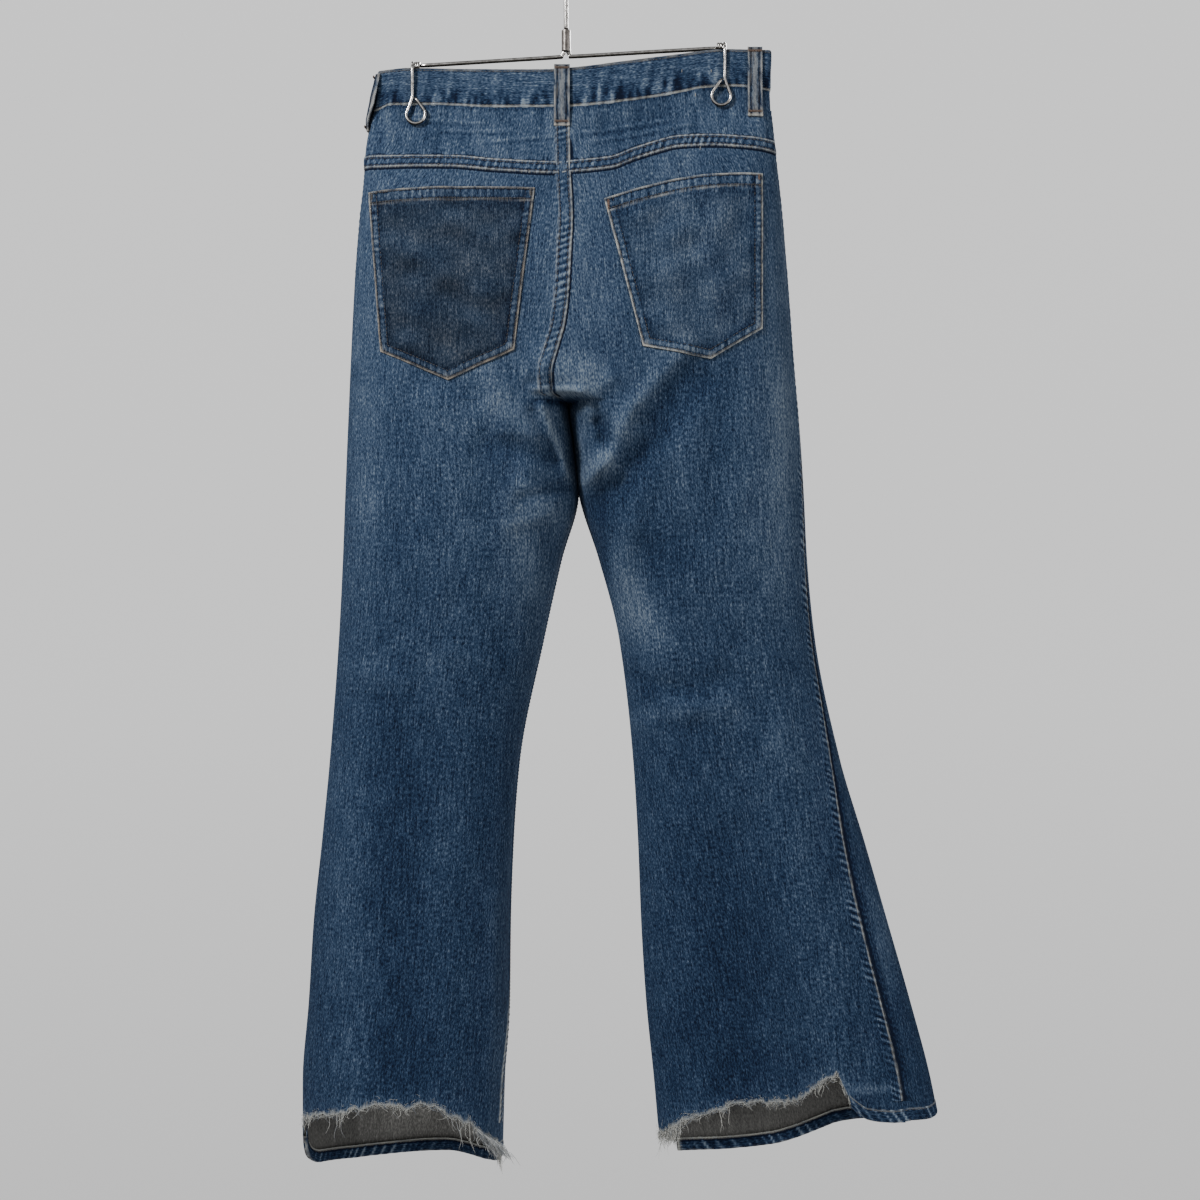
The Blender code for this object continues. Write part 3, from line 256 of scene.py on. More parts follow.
def edge_line(rows, q):
    """The drop of a hem or a torn edge at ring places q."""
    table = np.asarray(rows, float)
    return np.interp(q, table[:, 0], table[:, 1] * MM)


def ripple(seed, u, v, short, long, count=9):
    """Smooth seeded noise of about -1 to 1, made of waves between two lengths in mm."""
    dice = np.random.default_rng(seed)
    total = np.zeros(np.broadcast(u, v).shape)
    for _ in range(count):
        turn = dice.uniform(0, 2 * math.pi)
        pace = 2 * math.pi / (dice.uniform(short, long) * MM)
        phase = dice.uniform(0, 2 * math.pi)
        total = total + np.sin(pace * (math.cos(turn) * u + math.sin(turn) * v) + phase)
    return total / math.sqrt(count)


def step_up(value, low, high):
    """0 below low, 1 above high, and smooth between."""
    t = np.clip((np.asarray(value, float) - low) / (high - low), 0, 1)
    return t * t * (3 - 2 * t)


def bump(value, centre, half_width):
    return np.exp(-(((value - centre) / half_width) ** 2))


def lines_at(value, places, half_width):
    """Narrow lines at places in mm."""
    return sum(bump(value, at * MM, half_width * MM) for at in places)


# ---------------------------------------------------------------- the body's surface
ROWS = {"left": LEFT_ROWS, "right": RIGHT_ROWS}
SEAMS = {"left": LEFT_SEAMS, "right": RIGHT_SEAMS}
BACK_EDGES = {"left": LEFT_BACK_EDGE, "right": RIGHT_BACK_EDGE}
FRONT_HEMS = {"left": LEFT_FRONT_HEM, "right": RIGHT_FRONT_HEM}
HEM_ENDS = {"left": 0.01, "right": 0.345}  # ring places where the heels' tears begin
SIGN = {"left": -1.0, "right": 1.0}
FREE = 9.0  # a limit that no ring place reaches
SEEDS = {
    # of the noise in each part, which may also use the few numbers after its own
    "back": 3, "front": 4, "back_wear": 31, "front_wear": 32, "tear": 41, "yoke": 51, "band": 71,
    "loop": 81, "side_loop": 85, "fly": 95, "hem_left": 101, "hem_right": 103,
}


def ellipse_quarter(reach, depth):
    return 0.5 * math.pi * np.sqrt(0.5 * (reach**2 + depth**2))


def section(side, back, drop):
    """The sizes of one face of one half's ring at a drop."""
    rows = ROWS[side]
    outer = column(rows, 1, drop)
    depth = column(rows, 3 if back else 4, drop)
    reach = column(rows, 5, drop)
    inner_reach = column(rows, 6, drop)
    centre = column(CENTRE_SEAM, 1 if back else 2, drop)
    below = drop >= CROTCH_DROP
    inner = np.where(below, column(rows, 2, drop), centre)
    turned = np.clip((drop - RISE_START) / (CROTCH_DROP - RISE_START), 0, 1)
    turn = np.where(below, 0.5 * math.pi, np.arccos((1 - turned**SEAT_HANG) ** (1 / SEAT_HANG)))
    outer_arc = ellipse_quarter(reach, depth)
    inner_arc = ellipse_quarter(inner_reach, depth) * turn / (0.5 * math.pi)
    flat = np.maximum(np.abs(inner - outer) - reach - inner_reach * np.sin(turn), 0)
    return outer, inner, depth, reach, inner_reach, turn, outer_arc, flat, inner_arc


def half_length(side, back, drop):
    parts = section(side, back, drop)
    return parts[6] + parts[7] + parts[8]


def ring_place(parts, q):
    """The x, the share of the depth and the way inward at ring places q of a section."""
    outer, inner, _, reach, inner_reach, turn, outer_arc, flat, inner_arc = parts
    inward = np.sign(inner - outer)
    along = q * (outer_arc + flat + inner_arc)
    first = np.clip(along / outer_arc, 0, 1) * 0.5 * math.pi
    middle = np.clip(along - outer_arc, 0, flat)
    last = np.clip((along - outer_arc - flat) / np.maximum(inner_arc, 1e-9), 0, 1) * turn
    in_last = along > outer_arc + flat
    x_first = outer + inward * (reach * (1 - np.cos(first)) + middle)
    x_last = inner - inward * inner_reach * (np.sin(turn) - np.sin(last))
    x = np.where(in_last, x_last, x_first)
    return x, np.where(in_last, np.cos(last), np.sin(first)), inward


def fold_height(folds, x, drop):
    """How far the folds of a table lift the cloth at each place."""
    height = np.zeros(np.broadcast(x, drop).shape)
    for x1, drop1, x2, drop2, half_width, peak in folds:
        start = np.array((x1, drop1)) * MM
        run = np.array((x2, drop2)) * MM - start
        length = np.hypot(*run)
        ahead = ((x - start[0]) * run[0] + (drop - start[1]) * run[1]) / length
        beside = ((x - start[0]) * run[1] - (drop - start[1]) * run[0]) / length
        past = np.maximum(np.abs(ahead - length / 2) - length / 2, 0)
        height += peak * MM * np.exp(-(beside**2 + past**2) / (half_width * MM) ** 2)
    return height


def all_folds(back, x, drop):
    folds = BACK_FOLDS + BACK_CREASES if back else FRONT_FOLDS + FRONT_CREASES
    return fold_height(folds, x, drop)


def slack_between_clips(x, drop):
    centre, level, half_width, height = (value * MM for value in BETWEEN_CLIPS)
    across = np.clip(1 - ((x - centre) / half_width) ** 2, 0, 1)
    down = np.exp(-(((drop - level) / (60 * MM)) ** 2))
    return height * across**2 * down


def face_points(side, back, q, drop):
    """Points of one face: q from 0 at the outer fold to 1 at the inner edge."""
    parts = section(side, back, drop)
    depth = parts[2]
    other_depth = column(ROWS["right" if side == "left" else "left"], 3 if back else 4, drop)
    meeting = np.where(drop < CROTCH_DROP, 0.5 * q * q * (3 - 2 * q), 0)
    depth = depth + (other_depth - depth) * meeting
    x, share, _ = ring_place(parts, q)
    y = depth * share
    facing = np.clip(y / depth, 0, 1) ** 0.5
    wavy = SKIN_WAVES * ripple(SEEDS["back" if back else "front"], x, 0.7 * drop, 22, 75)
    wavy = wavy * step_up(drop, YOKE_LEVEL - 40 * MM, YOKE_LEVEL + 20 * MM)
    y = y + facing * (all_folds(back, x, drop) + slack_between_clips(x, drop) + wavy)
    return np.stack((x, -y if back else y, -drop), axis=-1)


def surface(side, q, drop):
    """Points on the outside of one half. Below the crotch q past 1 or -1 goes on round the leg."""
    q, drop = np.broadcast_arrays(np.asarray(q, float), np.asarray(drop, float))
    q = np.where(q > 1, q - 2, q)
    q = np.where(q < -1, q + 2, q)
    on_back = face_points(side, True, np.abs(q), drop)
    on_front = face_points(side, False, np.abs(q), drop)
    return np.where((q >= 0)[..., None], on_back, on_front)


def normals(side, q, drop, q_low=-FREE, q_high=FREE):
    """Outward unit normals, from small steps that stay between q_low and q_high."""
    small_q, small_drop = 0.004, 1.5 * MM
    ahead = surface(side, np.minimum(q + small_q, q_high), drop)
    across = ahead - surface(side, np.maximum(q - small_q, q_low), drop)
    down = surface(side, q, drop + small_drop) - surface(side, q, drop - small_drop)
    normal = np.cross(across, down)
    normal /= np.maximum(np.linalg.norm(normal, axis=-1, keepdims=True), 1e-12)
    return normal if side == "right" else -normal


def seam_q(side, which, drop):
    """Ring place of the outseam or the inseam at a drop."""
    offset = column(SEAMS[side], 1 if which == "side" else 2, drop)
    length = half_length(side, True, drop)
    front_length = half_length(side, False, drop)
    share = np.where(offset >= 0, offset / length, offset / front_length)
    return share if which == "side" else 1 - share


def ring_q(side, back, x, drop):
    """Ring places of points of one face, found from their x by halving."""
    parts = section(side, back, drop)
    low, high = np.zeros(np.shape(x)), np.ones(np.shape(x))
    for _ in range(22):
        q = 0.5 * (low + high)
        here, _, inward = ring_place(parts, q)
        short = (x - here) * inward > 0
        low, high = np.where(short, q, low), np.where(short, high, q)
    return q if back else -q


def on_face(back, x, drop):
    """Points and outward normals of one face of the whole garment, from x and drop."""
    x, drop = np.broadcast_arrays(np.asarray(x, float), np.asarray(drop, float))
    centre = column(CENTRE_SEAM, 1 if back else 2, drop)
    points, normal = np.zeros(x.shape + (3,)), np.zeros(x.shape + (3,))
    for side in ("left", "right"):
        here = (x < centre) if side == "left" else (x >= centre)
        if not here.any():
            continue
        q = ring_q(side, back, x[here], drop[here])
        limit = np.where(drop[here] < CROTCH_DROP, 1.0, FREE)
        limits = (-FREE, limit) if back else (-limit, FREE)
        points[here] = surface(side, q, drop[here])
        normal[here] = normals(side, q, drop[here], *limits)
    return points, normal


def ring_limits(drop, back):
    """Normals are taken one-sided at the centre seam, above the crotch."""
    limit = np.where(drop < CROTCH_DROP - 0.1 * MM, 1.0, FREE)
    return (-FREE, limit) if back else (-limit, FREE)


def ring_places(side, back, shares, drop):
    """Ring places of a panel's columns at a drop."""
    q_side = seam_q(side, "side", drop)
    q_in = seam_q(side, "inseam", drop) - (0 if back else 2)
    return q_side + (q_in - q_side) * shares


def settle(side, back, shares, line, drop):
    """Ring places and drops where a panel's columns meet a line given by its ring places."""
    for _ in range(4):
        q = ring_places(side, back, shares, drop)
        drop = line(side, q)
    return q, drop


def cut_line(level, table):
    """A level line of the cut, as a function that gives drops at ring places."""

    def line(side, q):
        return level_line(table, surface(side, q, np.full(np.shape(q), level))[..., 0])

    return line


yoke_line = cut_line(YOKE_LEVEL, YOKE_SEAM)
waist_line = cut_line(WAIST_LEVEL, WAIST_SEAM)
waist_top_line = cut_line(WAIST_TOP_LEVEL, WAIST_TOP)


def mouth_line(side, q):
    """The front panel's top: the waist seam, dipping to the side seam as the pocket's mouth."""
    level = np.array(MOUTH_LEVEL)
    along = (seam_q(side, "side", level) - q) * half_length(side, False, level)
    inward = np.clip(along / MOUTH_WIDTH, 0, 1)
    return waist_line(side, q) + MOUTH_DEPTH * np.sqrt(1 - inward**2.2)


def back_edge_line(side, q):
    """The heel's torn edge, ragged at the scale of single yarns."""
    torn = step_up(q, HEM_ENDS[side] - 0.01, HEM_ENDS[side] + 0.02)
    ragged = 1.6 * MM * ripple(21, 0.28 * q, 0, 3, 16) + 0.8 * MM * ripple(22, 0.28 * q, 0, 1.5, 4)
    return edge_line(BACK_EDGES[side], q) + torn * ragged


def front_hem_line(side, q):
    return edge_line(FRONT_HEMS[side], q)


# ---------------------------------------------------------------- meshes
def new_object(name, mesh, materials, stands_for=()):
    for name_of in materials:
        mesh.materials.append(MATERIALS[name_of])
    made = bpy.data.objects.new(name, mesh)
    bpy.context.scene.collection.objects.link(made)
    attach(made, "root")
    if stands_for:
        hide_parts(*stands_for)
    return made


def new_mesh(name, vertices, faces, sharp=None):
    mesh = bpy.data.meshes.new(name)
    mesh.from_pydata(vertices, [], faces)
    mesh.shade_smooth()
    if sharp is not None:
        mesh.set_sharp_from_angle(angle=math.radians(sharp))
    return mesh


def set_fields(mesh, fields):
    for label, values in fields.items():
        attribute = mesh.attributes.new(label, "FLOAT", "POINT")
        attribute.data.foreach_set("value", np.asarray(values, np.float32).ravel())


def grid_faces(rows, columns):
    index = np.arange(rows * columns).reshape(rows, columns)
    return np.stack((index[:-1, :-1], index[:-1, 1:], index[1:, 1:], index[1:, :-1]), axis=-1)


class Patch:
    """A grid of points on the cloth, with its normals and the place of each point in the weave."""

    def __init__(self, points, normal, u, v, lift=0.0):
        self.points = points
        self.normal = normal
        self.u = np.broadcast_to(u, points.shape[:2])
        self.v = np.broadcast_to(v, points.shape[:2])
        self.lift(lift)

    def lift(self, height):
        """Move the points out along their normals."""
        self.points = self.points + np.asarray(height)[..., None] * self.normal

    def at(self, r, c):
        """Points and normals between the grid's rows and columns."""
        rows, columns = self.points.shape[:2]
        r = np.clip(r, 0, rows - 1.001)
        c = np.clip(c, 0, columns - 1.001)
        i, j = r.astype(int), c.astype(int)
        a, b = (r - i)[..., None], (c - j)[..., None]
        found = []
        for grid in (self.points, self.normal):
            upper = grid[i, j] * (1 - b) + grid[i, j + 1] * b
            lower = grid[i + 1, j] * (1 - b) + grid[i + 1, j + 1] * b
            found.append(upper * (1 - a) + lower * a)
        return found

    def sizes(self):
        """Width, length and area of the cloth, laid flat."""
        across = np.linalg.norm(np.diff(self.points, axis=1), axis=-1)
        down = np.linalg.norm(np.diff(self.points, axis=0), axis=-1)
        mean_across = 0.5 * (across[:-1] + across[1:])
        mean_down = 0.5 * (down[:, :-1] + down[:, 1:])
        width, length = across.sum(axis=1).max(), down.sum(axis=0).max()
        return float(width), float(length), float((mean_across * mean_down).sum())


def add_cloth(name, patch, wall, wear, edge=0.0, dirt=0.0, stands_for=(), inside="denim_inside"):
    """A wall of cloth under a patch, closed round its edges."""
    rows, columns = patch.points.shape[:2]
    count = rows * columns
    under = patch.points - np.asarray(wall, float)[..., None] * patch.normal
    outer = grid_faces(rows, columns).reshape(-1, 4)
    inner = outer[:, ::-1] + count
    index = np.arange(count).reshape(rows, columns)
    rims = []
    for line in (index[0, ::-1], index[-1], index[:, 0], index[::-1, -1]):
        rims.append(np.stack((line[1:], line[1:] + count, line[:-1] + count, line[:-1]), axis=-1))
    faces = np.concatenate([outer, inner] + rims)
    corners = patch.points[:-1, :-1]
    across = np.cross(patch.points[:-1, 1:] - corners, patch.points[1:, :-1] - corners)
    if (across * patch.normal[:-1, :-1]).sum() < 0:
        faces = faces[:, ::-1]
    vertices = np.concatenate((patch.points.reshape(-1, 3), under.reshape(-1, 3)))
    mesh = new_mesh(name, vertices.tolist(), faces.tolist(), 55)
    kinds = np.zeros(len(faces), np.int32)
    kinds[len(outer) : 2 * len(outer)] = 1
    mesh.polygons.foreach_set("material_index", kinds)
    both = {"wear": wear, "edge": np.clip(edge, 0, 1), "dirt": np.clip(dirt, 0, 1)}
    for label, values in both.items():
        both[label] = np.tile(np.broadcast_to(values, (rows, columns)).ravel(), 2)
    set_fields(mesh, both)
    uv = mesh.uv_layers.new(name="weave")
    flat = np.stack((patch.u.ravel(), patch.v.ravel()), axis=-1)
    flat = np.tile(flat, (2, 1))[faces.ravel()]
    uv.data.foreach_set("uv", flat.astype(np.float32).ravel())
    return new_object(name, mesh, ("denim", inside), stands_for)


def add_strands(name, paths, radii, tones, kind, stands_for=(), sides=3):
    """Thin round threads or wires. paths: (n, k, 3); radii: (n, k); tones: n numbers."""
    paths = np.asarray(paths, float)
    count, steps = paths.shape[:2]
    ahead = np.gradient(paths, axis=1)
    ahead /= np.maximum(np.linalg.norm(ahead, axis=-1, keepdims=True), 1e-12)
    helper = np.where(np.abs(ahead[:, :1, 2:3]) > 0.9, (1.0, 0, 0), (0, 0, 1.0))
    carried = np.cross(ahead[:, :1], helper)[:, 0]
    across = np.zeros(paths.shape)
    for step in range(steps):
        way = ahead[:, step]
        carried = carried - np.sum(carried * way, axis=-1, keepdims=True) * way
        carried /= np.maximum(np.linalg.norm(carried, axis=-1, keepdims=True), 1e-12)
        across[:, step] = carried
    over = np.cross(ahead, across)
    angle = 2 * math.pi * np.arange(sides)[:, None] / sides
    ring = across[..., None, :] * np.cos(angle) + over[..., None, :] * np.sin(angle)
    vertices = paths[..., None, :] + np.asarray(radii)[..., None, None] * ring
    index = np.arange(count * steps * sides).reshape(count, steps, sides)
    turned = np.roll(index, -1, axis=2)
    quads = np.stack((index[:, :-1], turned[:, :-1], turned[:, 1:], index[:, 1:]), axis=-1)
    faces = quads.reshape(-1, 4).tolist()
    faces += index[:, 0, ::-1].tolist() + index[:, -1].tolist()
    mesh = new_mesh(name, vertices.reshape(-1, 3).tolist(), faces)
    set_fields(mesh, {"tone": np.repeat(np.asarray(tones, float), steps * sides)})
    return new_object(name, mesh, (kind,), stands_for)


BARTACK_TURNS = 17


class Sewing:
    """Stitches gathered from many seams and made as one piece of thread."""

    def __init__(self):
        self.paths = []
        self.tones = []

    def run(self, points, normal, length=2.6 * MM, gap=0.9 * MM, tone=0.0, lift=0.12 * MM):
        """Separate stitches along a line of points."""
        steps = np.linalg.norm(np.diff(points, axis=0), axis=1)
        reached = np.concatenate(((0.0,), np.cumsum(steps)))
        starts = np.arange(0.5 * gap, reached[-1] - length, length + gap)
        rows = []
        for share, height in ((0.0, -0.25), (0.5, 1.0), (1.0, -0.25)):
            at = starts + share * length
            place, turned = (
                np.stack([np.interp(at, reached, values[:, k]) for k in range(3)], axis=-1)
                for values in (points, normal)
            )
            rows.append(place + lift * height * turned)
        self.paths.append(np.stack(rows, axis=1))
        self.tones.append(np.full(len(starts), tone))

    def lines(self, patch, across, offsets, tone, down=True):
        """Lines of stitches down a patch's rows, or along them, at offsets in mm across it."""
        rows, columns = patch.points.shape[:2]
        for offset in offsets:
            if down:
                c = np.interp(offset * MM, across[0], np.arange(columns))
                r, c = np.arange(rows).astype(float), np.full(rows, c)
            else:
                r = np.interp(offset * MM, across[:, 0], np.arange(rows))
                r, c = np.full(columns, r), np.arange(columns).astype(float)
            self.run(*patch.at(r, c), tone=tone)

    def bartack(self, centre, normal, along, length, width, tone):
        """A short dense bar of thread, zigzagging across its length."""
        along = along / np.linalg.norm(along)
        across = np.cross(normal, along)
        at = (np.arange(BARTACK_TURNS) / (BARTACK_TURNS - 1) - 0.5) * length
        middle = centre + along * at[:, None] + normal * 0.45 * MM
        left = middle - across * 0.5 * width - normal * 0.35 * MM
        right = middle + across * 0.5 * width - normal * 0.35 * MM
        self.paths.append(np.stack((left, middle, right), axis=1))
        self.tones.append(np.full(BARTACK_TURNS, tone))

    def finish(self, name, radius):
        paths = np.concatenate(self.paths)
        radii = np.tile((0.55 * radius, radius, 0.55 * radius), (len(paths), 1))
        tones = np.concatenate(self.tones)
        return add_strands(name, paths, radii, tones, "sewing", sides=4)


SEWING = Sewing()


# ---------------------------------------------------------------- materials
class Graph:
    """The nodes that end in one node of a material or a world."""

    def __init__(self, owner, last="Principled BSDF"):
        owner.use_nodes = True
        self.owner = owner
        self.tree = owner.node_tree
        self.last = self.tree.nodes[last]

    def join(self, socket, value):
        """Link a socket from another one, or set its number or colour."""
        if isinstance(value, bpy.types.NodeSocket):
            self.tree.links.new(value, socket)
        else:
            socket.default_value = value

    def node(self, kind, settings=None, **values):
        """A shader node; values are socket names, or _ and a number, with what joins them."""
        made = self.tree.nodes.new(kind)
        for label, value in (settings or {}).items():
            setattr(made, label, value)
        for label, value in values.items():
            self.join(made.inputs[int(label[1:]) if label[1:].isdigit() else label], value)
        return made

    def maths(self, operation, a, b, c=0.5, clamp=False):
        settings = {"operation": operation, "use_clamp": clamp}
        return self.node("ShaderNodeMath", settings, _0=a, _1=b, _2=c).outputs[0]

    def field(self, label):
        return self.node("ShaderNodeAttribute", {"attribute_name": label}).outputs["Fac"]

    def noise(self, scale, detail):
        place = self.node("ShaderNodeTexCoord").outputs["Object"]
        return self.node("ShaderNodeTexNoise", Vector=place, Scale=scale, Detail=detail).outputs[0]

    def weave_noise(self, uv, across, along, detail, offset):
        """Noise of -0.5 to 0.5 with its own scale across and along the yarns, in lumps a metre."""
        scaled = self.node(
            "ShaderNodeMapping", Vector=uv, Scale=(across, along, 1), Location=(offset, offset, 0)
        ).outputs[0]
        noise = self.node("ShaderNodeTexNoise", Vector=scaled, Scale=1.0, Detail=detail)
        return self.maths("SUBTRACT", noise.outputs[0], 0.5)

    def mixed(self, share, a, b, way="MIX"):
        settings = {"data_type": "RGBA", "blend_type": way}
        return self.node("ShaderNodeMix", settings, _0=share, _6=a, _7=b).outputs[2]

    def colours(self, value, stops):
        ramp = self.node("ShaderNodeValToRGB", _0=value)
        elements = ramp.color_ramp.elements
        while len(elements) < len(stops):
            elements.new(0.5)
        for element, (place_at, colour) in zip(elements, stops):
            element.position = place_at
            element.color = (*colour, 1)
        return ramp.outputs[0]

    def relief(self, height, strength, distance):
        bumped = self.node("ShaderNodeBump", Height=height, Strength=strength, Distance=distance)
        return bumped.outputs[0]

    def finish(self, **values):
        """Join the last node's sockets, with _ for the spaces in their names."""
        for label, value in values.items():
            self.join(self.last.inputs[label.replace("_", " ")], value)
        return self.owner


TWILL_PITCH = 1.15 * MM
TWILL_SLANT = 0.55  # of the twill lines, in widths a length
NOISES = (
    # lumps a metre across and along the yarns, strength, detail
    (640, 40, 0.8, 2.0), (120, 6, 0.12, 2.0), (1000, 330, 1.3, 1.0), (330, 200, 0.32, 1.0),
    (20, 13, 0.08, 3.0),
)
SLUBS = (850, 60, 3.0, 7.0)  # lumps a metre across and along the yarns, detail, offset
OUTSIDE = (
    (0.0, (0.0014, 0.0032, 0.0095)), (0.25, (0.0036, 0.0086, 0.022)),
    (0.5, (0.0108, 0.022, 0.0435)), (0.75, (0.034, 0.0495, 0.077)), (1.0, (0.083, 0.105, 0.13)),
)
INSIDE = (
    (0.0, (0.022, 0.022, 0.022)), (0.5, (0.078, 0.077, 0.073)), (1.0, (0.24, 0.235, 0.22)),
)
CREAM = (0.25, 0.25, 0.225)  # of bare cotton on a rubbed edge
DIRT = (0.5, 0.42, 0.37)
# painted shade on metal: the further a face points down, the more a dark colour darkens it
DOWN_FACING_SHADE_STOPS = ((0.0, (0.12, 0.12, 0.12)), (0.35, (1, 1, 1)))  # how far metal faces down
PAINTED_UNDER_SHADE = (0.13, 0.12, 0.11)
THREADS = (
    # tone: cream, tan, dark brown and rust
    (0.0, (0.22, 0.2, 0.155)), (0.4, (0.085, 0.07, 0.052)), (0.65, (0.0125, 0.011, 0.011)),
    (1.0, (0.12, 0.055, 0.024)),
)
YARNS = (
    # tone: undyed weft, then indigo warp
    (0.0, (0.26, 0.26, 0.24)), (1.0, (0.02, 0.04, 0.075)),
)
FUZZ = ((0.3, (0.55, 0.55, 0.55)), (0.7, (1, 1, 1)))  # shade between a thread's fibres
METALS = {
    # bright and dull colour, lowest and highest roughness, lumps a metre
    "steel": ((0.42, 0.41, 0.4), (0.25, 0.24, 0.225), 0.18, 0.34, 300),
    "collar": ((0.17, 0.155, 0.145), (0.1, 0.09, 0.082), 0.22, 0.4, 300),
    "brass": ((0.5, 0.36, 0.2), (0.2, 0.13, 0.07), 0.3, 0.55, 500),
}


def denim(name, stops, level, contrast):
    """Twill with slubby yarns: deep where it is new, pale where it is rubbed, and darker or paler
    where painted shade or a painted highlight is added.
    """
    graph = Graph(bpy.data.materials.new(name))
    uv = graph.node("ShaderNodeUVMap", {"uv_map": "weave"}).outputs[0]
    total = graph.maths("ADD", graph.field("wear"), level)
    for across, along, strength, detail in NOISES:
        noise = graph.weave_noise(uv, across, along, detail, across)
        total = graph.maths("ADD", total, graph.maths("MULTIPLY", noise, strength * contrast))
    slubs = graph.weave_noise(uv, *SLUBS)
    split = graph.node("ShaderNodeSeparateXYZ", Vector=uv).outputs
    slant = graph.maths("ADD", split[0], graph.maths("MULTIPLY", split[1], TWILL_SLANT))
    twill = graph.maths("SINE", graph.maths("MULTIPLY", slant, 2 * math.pi / TWILL_PITCH), 0.0)
    total = graph.maths("ADD", total, graph.maths("MULTIPLY", twill, 0.03))
    edge = graph.field("edge")
    worn = graph.maths("MULTIPLY_ADD", slubs, 0.9, edge, clamp=True)
    worn = graph.maths("MULTIPLY", worn, graph.maths("GREATER_THAN", edge, 0.01))
    base = graph.mixed(worn, graph.colours(total, stops), (*CREAM, 1))
    base = graph.mixed(graph.field("dirt"), base, (*DIRT, 1), "MULTIPLY")
    raised = graph.maths("ADD", slubs, graph.maths("MULTIPLY", twill, 0.25))
    return graph.finish(
        Base_Color=base,
        Normal=graph.relief(raised, 0.55, 0.0005),
        Roughness=0.92,
        Specular_IOR_Level=0.06,
    )


def thread_material(name, stops):
    graph = Graph(bpy.data.materials.new(name))
    noise = graph.noise(900.0, 2.0)
    base = graph.colours(graph.field("tone"), stops)
    return graph.finish(
        Base_Color=graph.mixed(0.8, base, graph.colours(noise, FUZZ), "MULTIPLY"),
        Normal=graph.relief(noise, 0.4, 0.0002),
        Roughness=0.85,
        Sheen_Weight=0.1,
    )


def metal(name, bright, dull, low, high, scale):
    """Plated metal, faintly scratched, with painted shade darkening the sides that face down."""
    graph = Graph(bpy.data.materials.new(name))
    noise = graph.noise(scale, 5.0)
    base = graph.colours(noise, ((0.35, dull), (0.65, bright)))
    normal = graph.node("ShaderNodeNewGeometry").outputs["Normal"]
    up = graph.node("ShaderNodeSeparateXYZ", Vector=normal).outputs[2]
    under = graph.colours(graph.maths("MULTIPLY", up, -1.0), DOWN_FACING_SHADE_STOPS)
    return graph.finish(
        # painted shade: the sides that face down are multiplied darker
        Base_Color=graph.mixed(under, base, (*PAINTED_UNDER_SHADE, 1), "MULTIPLY"),
        Normal=graph.relief(noise, 0.04, 0.0002),
        Roughness=graph.node("ShaderNodeMapRange", _0=noise, _3=low, _4=high).outputs[0],
        Metallic=1.0,
    )


MATERIALS = {
    "denim": denim("denim", OUTSIDE, 0.47, 1.0),
    "denim_inside": denim("denim_inside", INSIDE, 0.47, 0.55),
    "sewing": thread_material("sewing", THREADS),
    "fray": thread_material("fray", YARNS),
    **{name: metal(name, *looks) for name, looks in METALS.items()},
}

# ---------------------------------------------------------------- rows, columns and wear
UPPER_TOP = 205 * MM
LEG_END = 1100 * MM
TOP_BLEND = 120 * MM  # the rows fan out to a panel's top line over this
HEM_BLEND = 110 * MM
GRAIN = {
    # drop, x: the line that a panel's warp yarns run along
    "left": ((110, -96), (440, -103), (588, -112), (780, -136), (1175, -158)),
    "right": ((90, 102), (440, 112), (588, 131), (780, 164), (1175, 230)),
}
SKIN_WAVES = 0.45 * MM
BACK_CREASES = (
    # x1, drop1, x2, drop2, half_width, height
    (-22, 447, 4, 510, 4.5, 6.0),  # inner facet of the left thigh
    (-30, 452, -9, 494, 6, -5.0),
    (15, 438, 29, 470, 5.5, 4.5),  # and of the right one
    (31, 463, 38, 480, 6, -5.0),
    (-28, 431, 16, 433, 4.5, 5.0),  # the lip of the seat's overhang
    (-36, 418, -52, 392, 7, 3.0), (8, 440, 16, 442, 4, -3.5), (28, 434, 42, 420, 8, 3.0),
    (40, 452, 62, 474, 9, 2.5),
    (114, 392, 62, 448, 9, 3.6),  # the brow of the long step down across the right thigh
    (64, 446, 32, 500, 9, 5.5), (19, 514, 40, 500, 6, 5.0), (130, 424, 92, 476, 11, -3.0),
    (78, 484, 52, 526, 12, -4.0), (36, 530, 34, 600, 10, -4.0), (-60, 470, -20, 474, 7, 1.8),
    (-56, 496, -6, 512, 7, 3.0), (-40, 532, 4, 522, 6, -3.0), (-48, 556, -10, 546, 7, 2.4),
    (-60, 430, -110, 392, 12, 2.4), (-70, 452, -128, 420, 12, -2.2), (58, 560, 46, 660, 11, 4.0),
    (84, 580, 70, 700, 14, -2.4), (120, 440, 104, 540, 16, 2.0), (150, 430, 138, 560, 14, -1.6),
    (-120, 440, -96, 520, 16, 1.4), (-150, 430, -150, 560, 14, -1.2), (60, 700, 120, 716, 7, -1.6),
    (58, 712, 130, 730, 7, 1.6), (64, 735, 120, 748, 8, -1.3), (-210, 690, -150, 704, 8, 1.2),
    (-214, 716, -160, 726, 8, -1.0), (-60, 690, -110, 676, 8, 1.2), (-96, 300, -130, 240, 20, 1.2),
)
FRONT_CREASES = (
    (-40, 396, -120, 352, 8, 2.0), (-44, 412, -130, 378, 7, -2.0), (44, 396, 124, 350, 8, 2.0),
    (48, 412, 132, 376, 7, -2.0), (-20, 450, -60, 480, 7, 2.0), (24, 452, 66, 482, 7, 2.0),
    (-80, 700, -190, 690, 8, 1.6), (100, 700, 200, 692, 8, 1.6), (-90, 724, -190, 716, 7, -1.6),
    (104, 724, 204, 716, 7, -1.6),
)
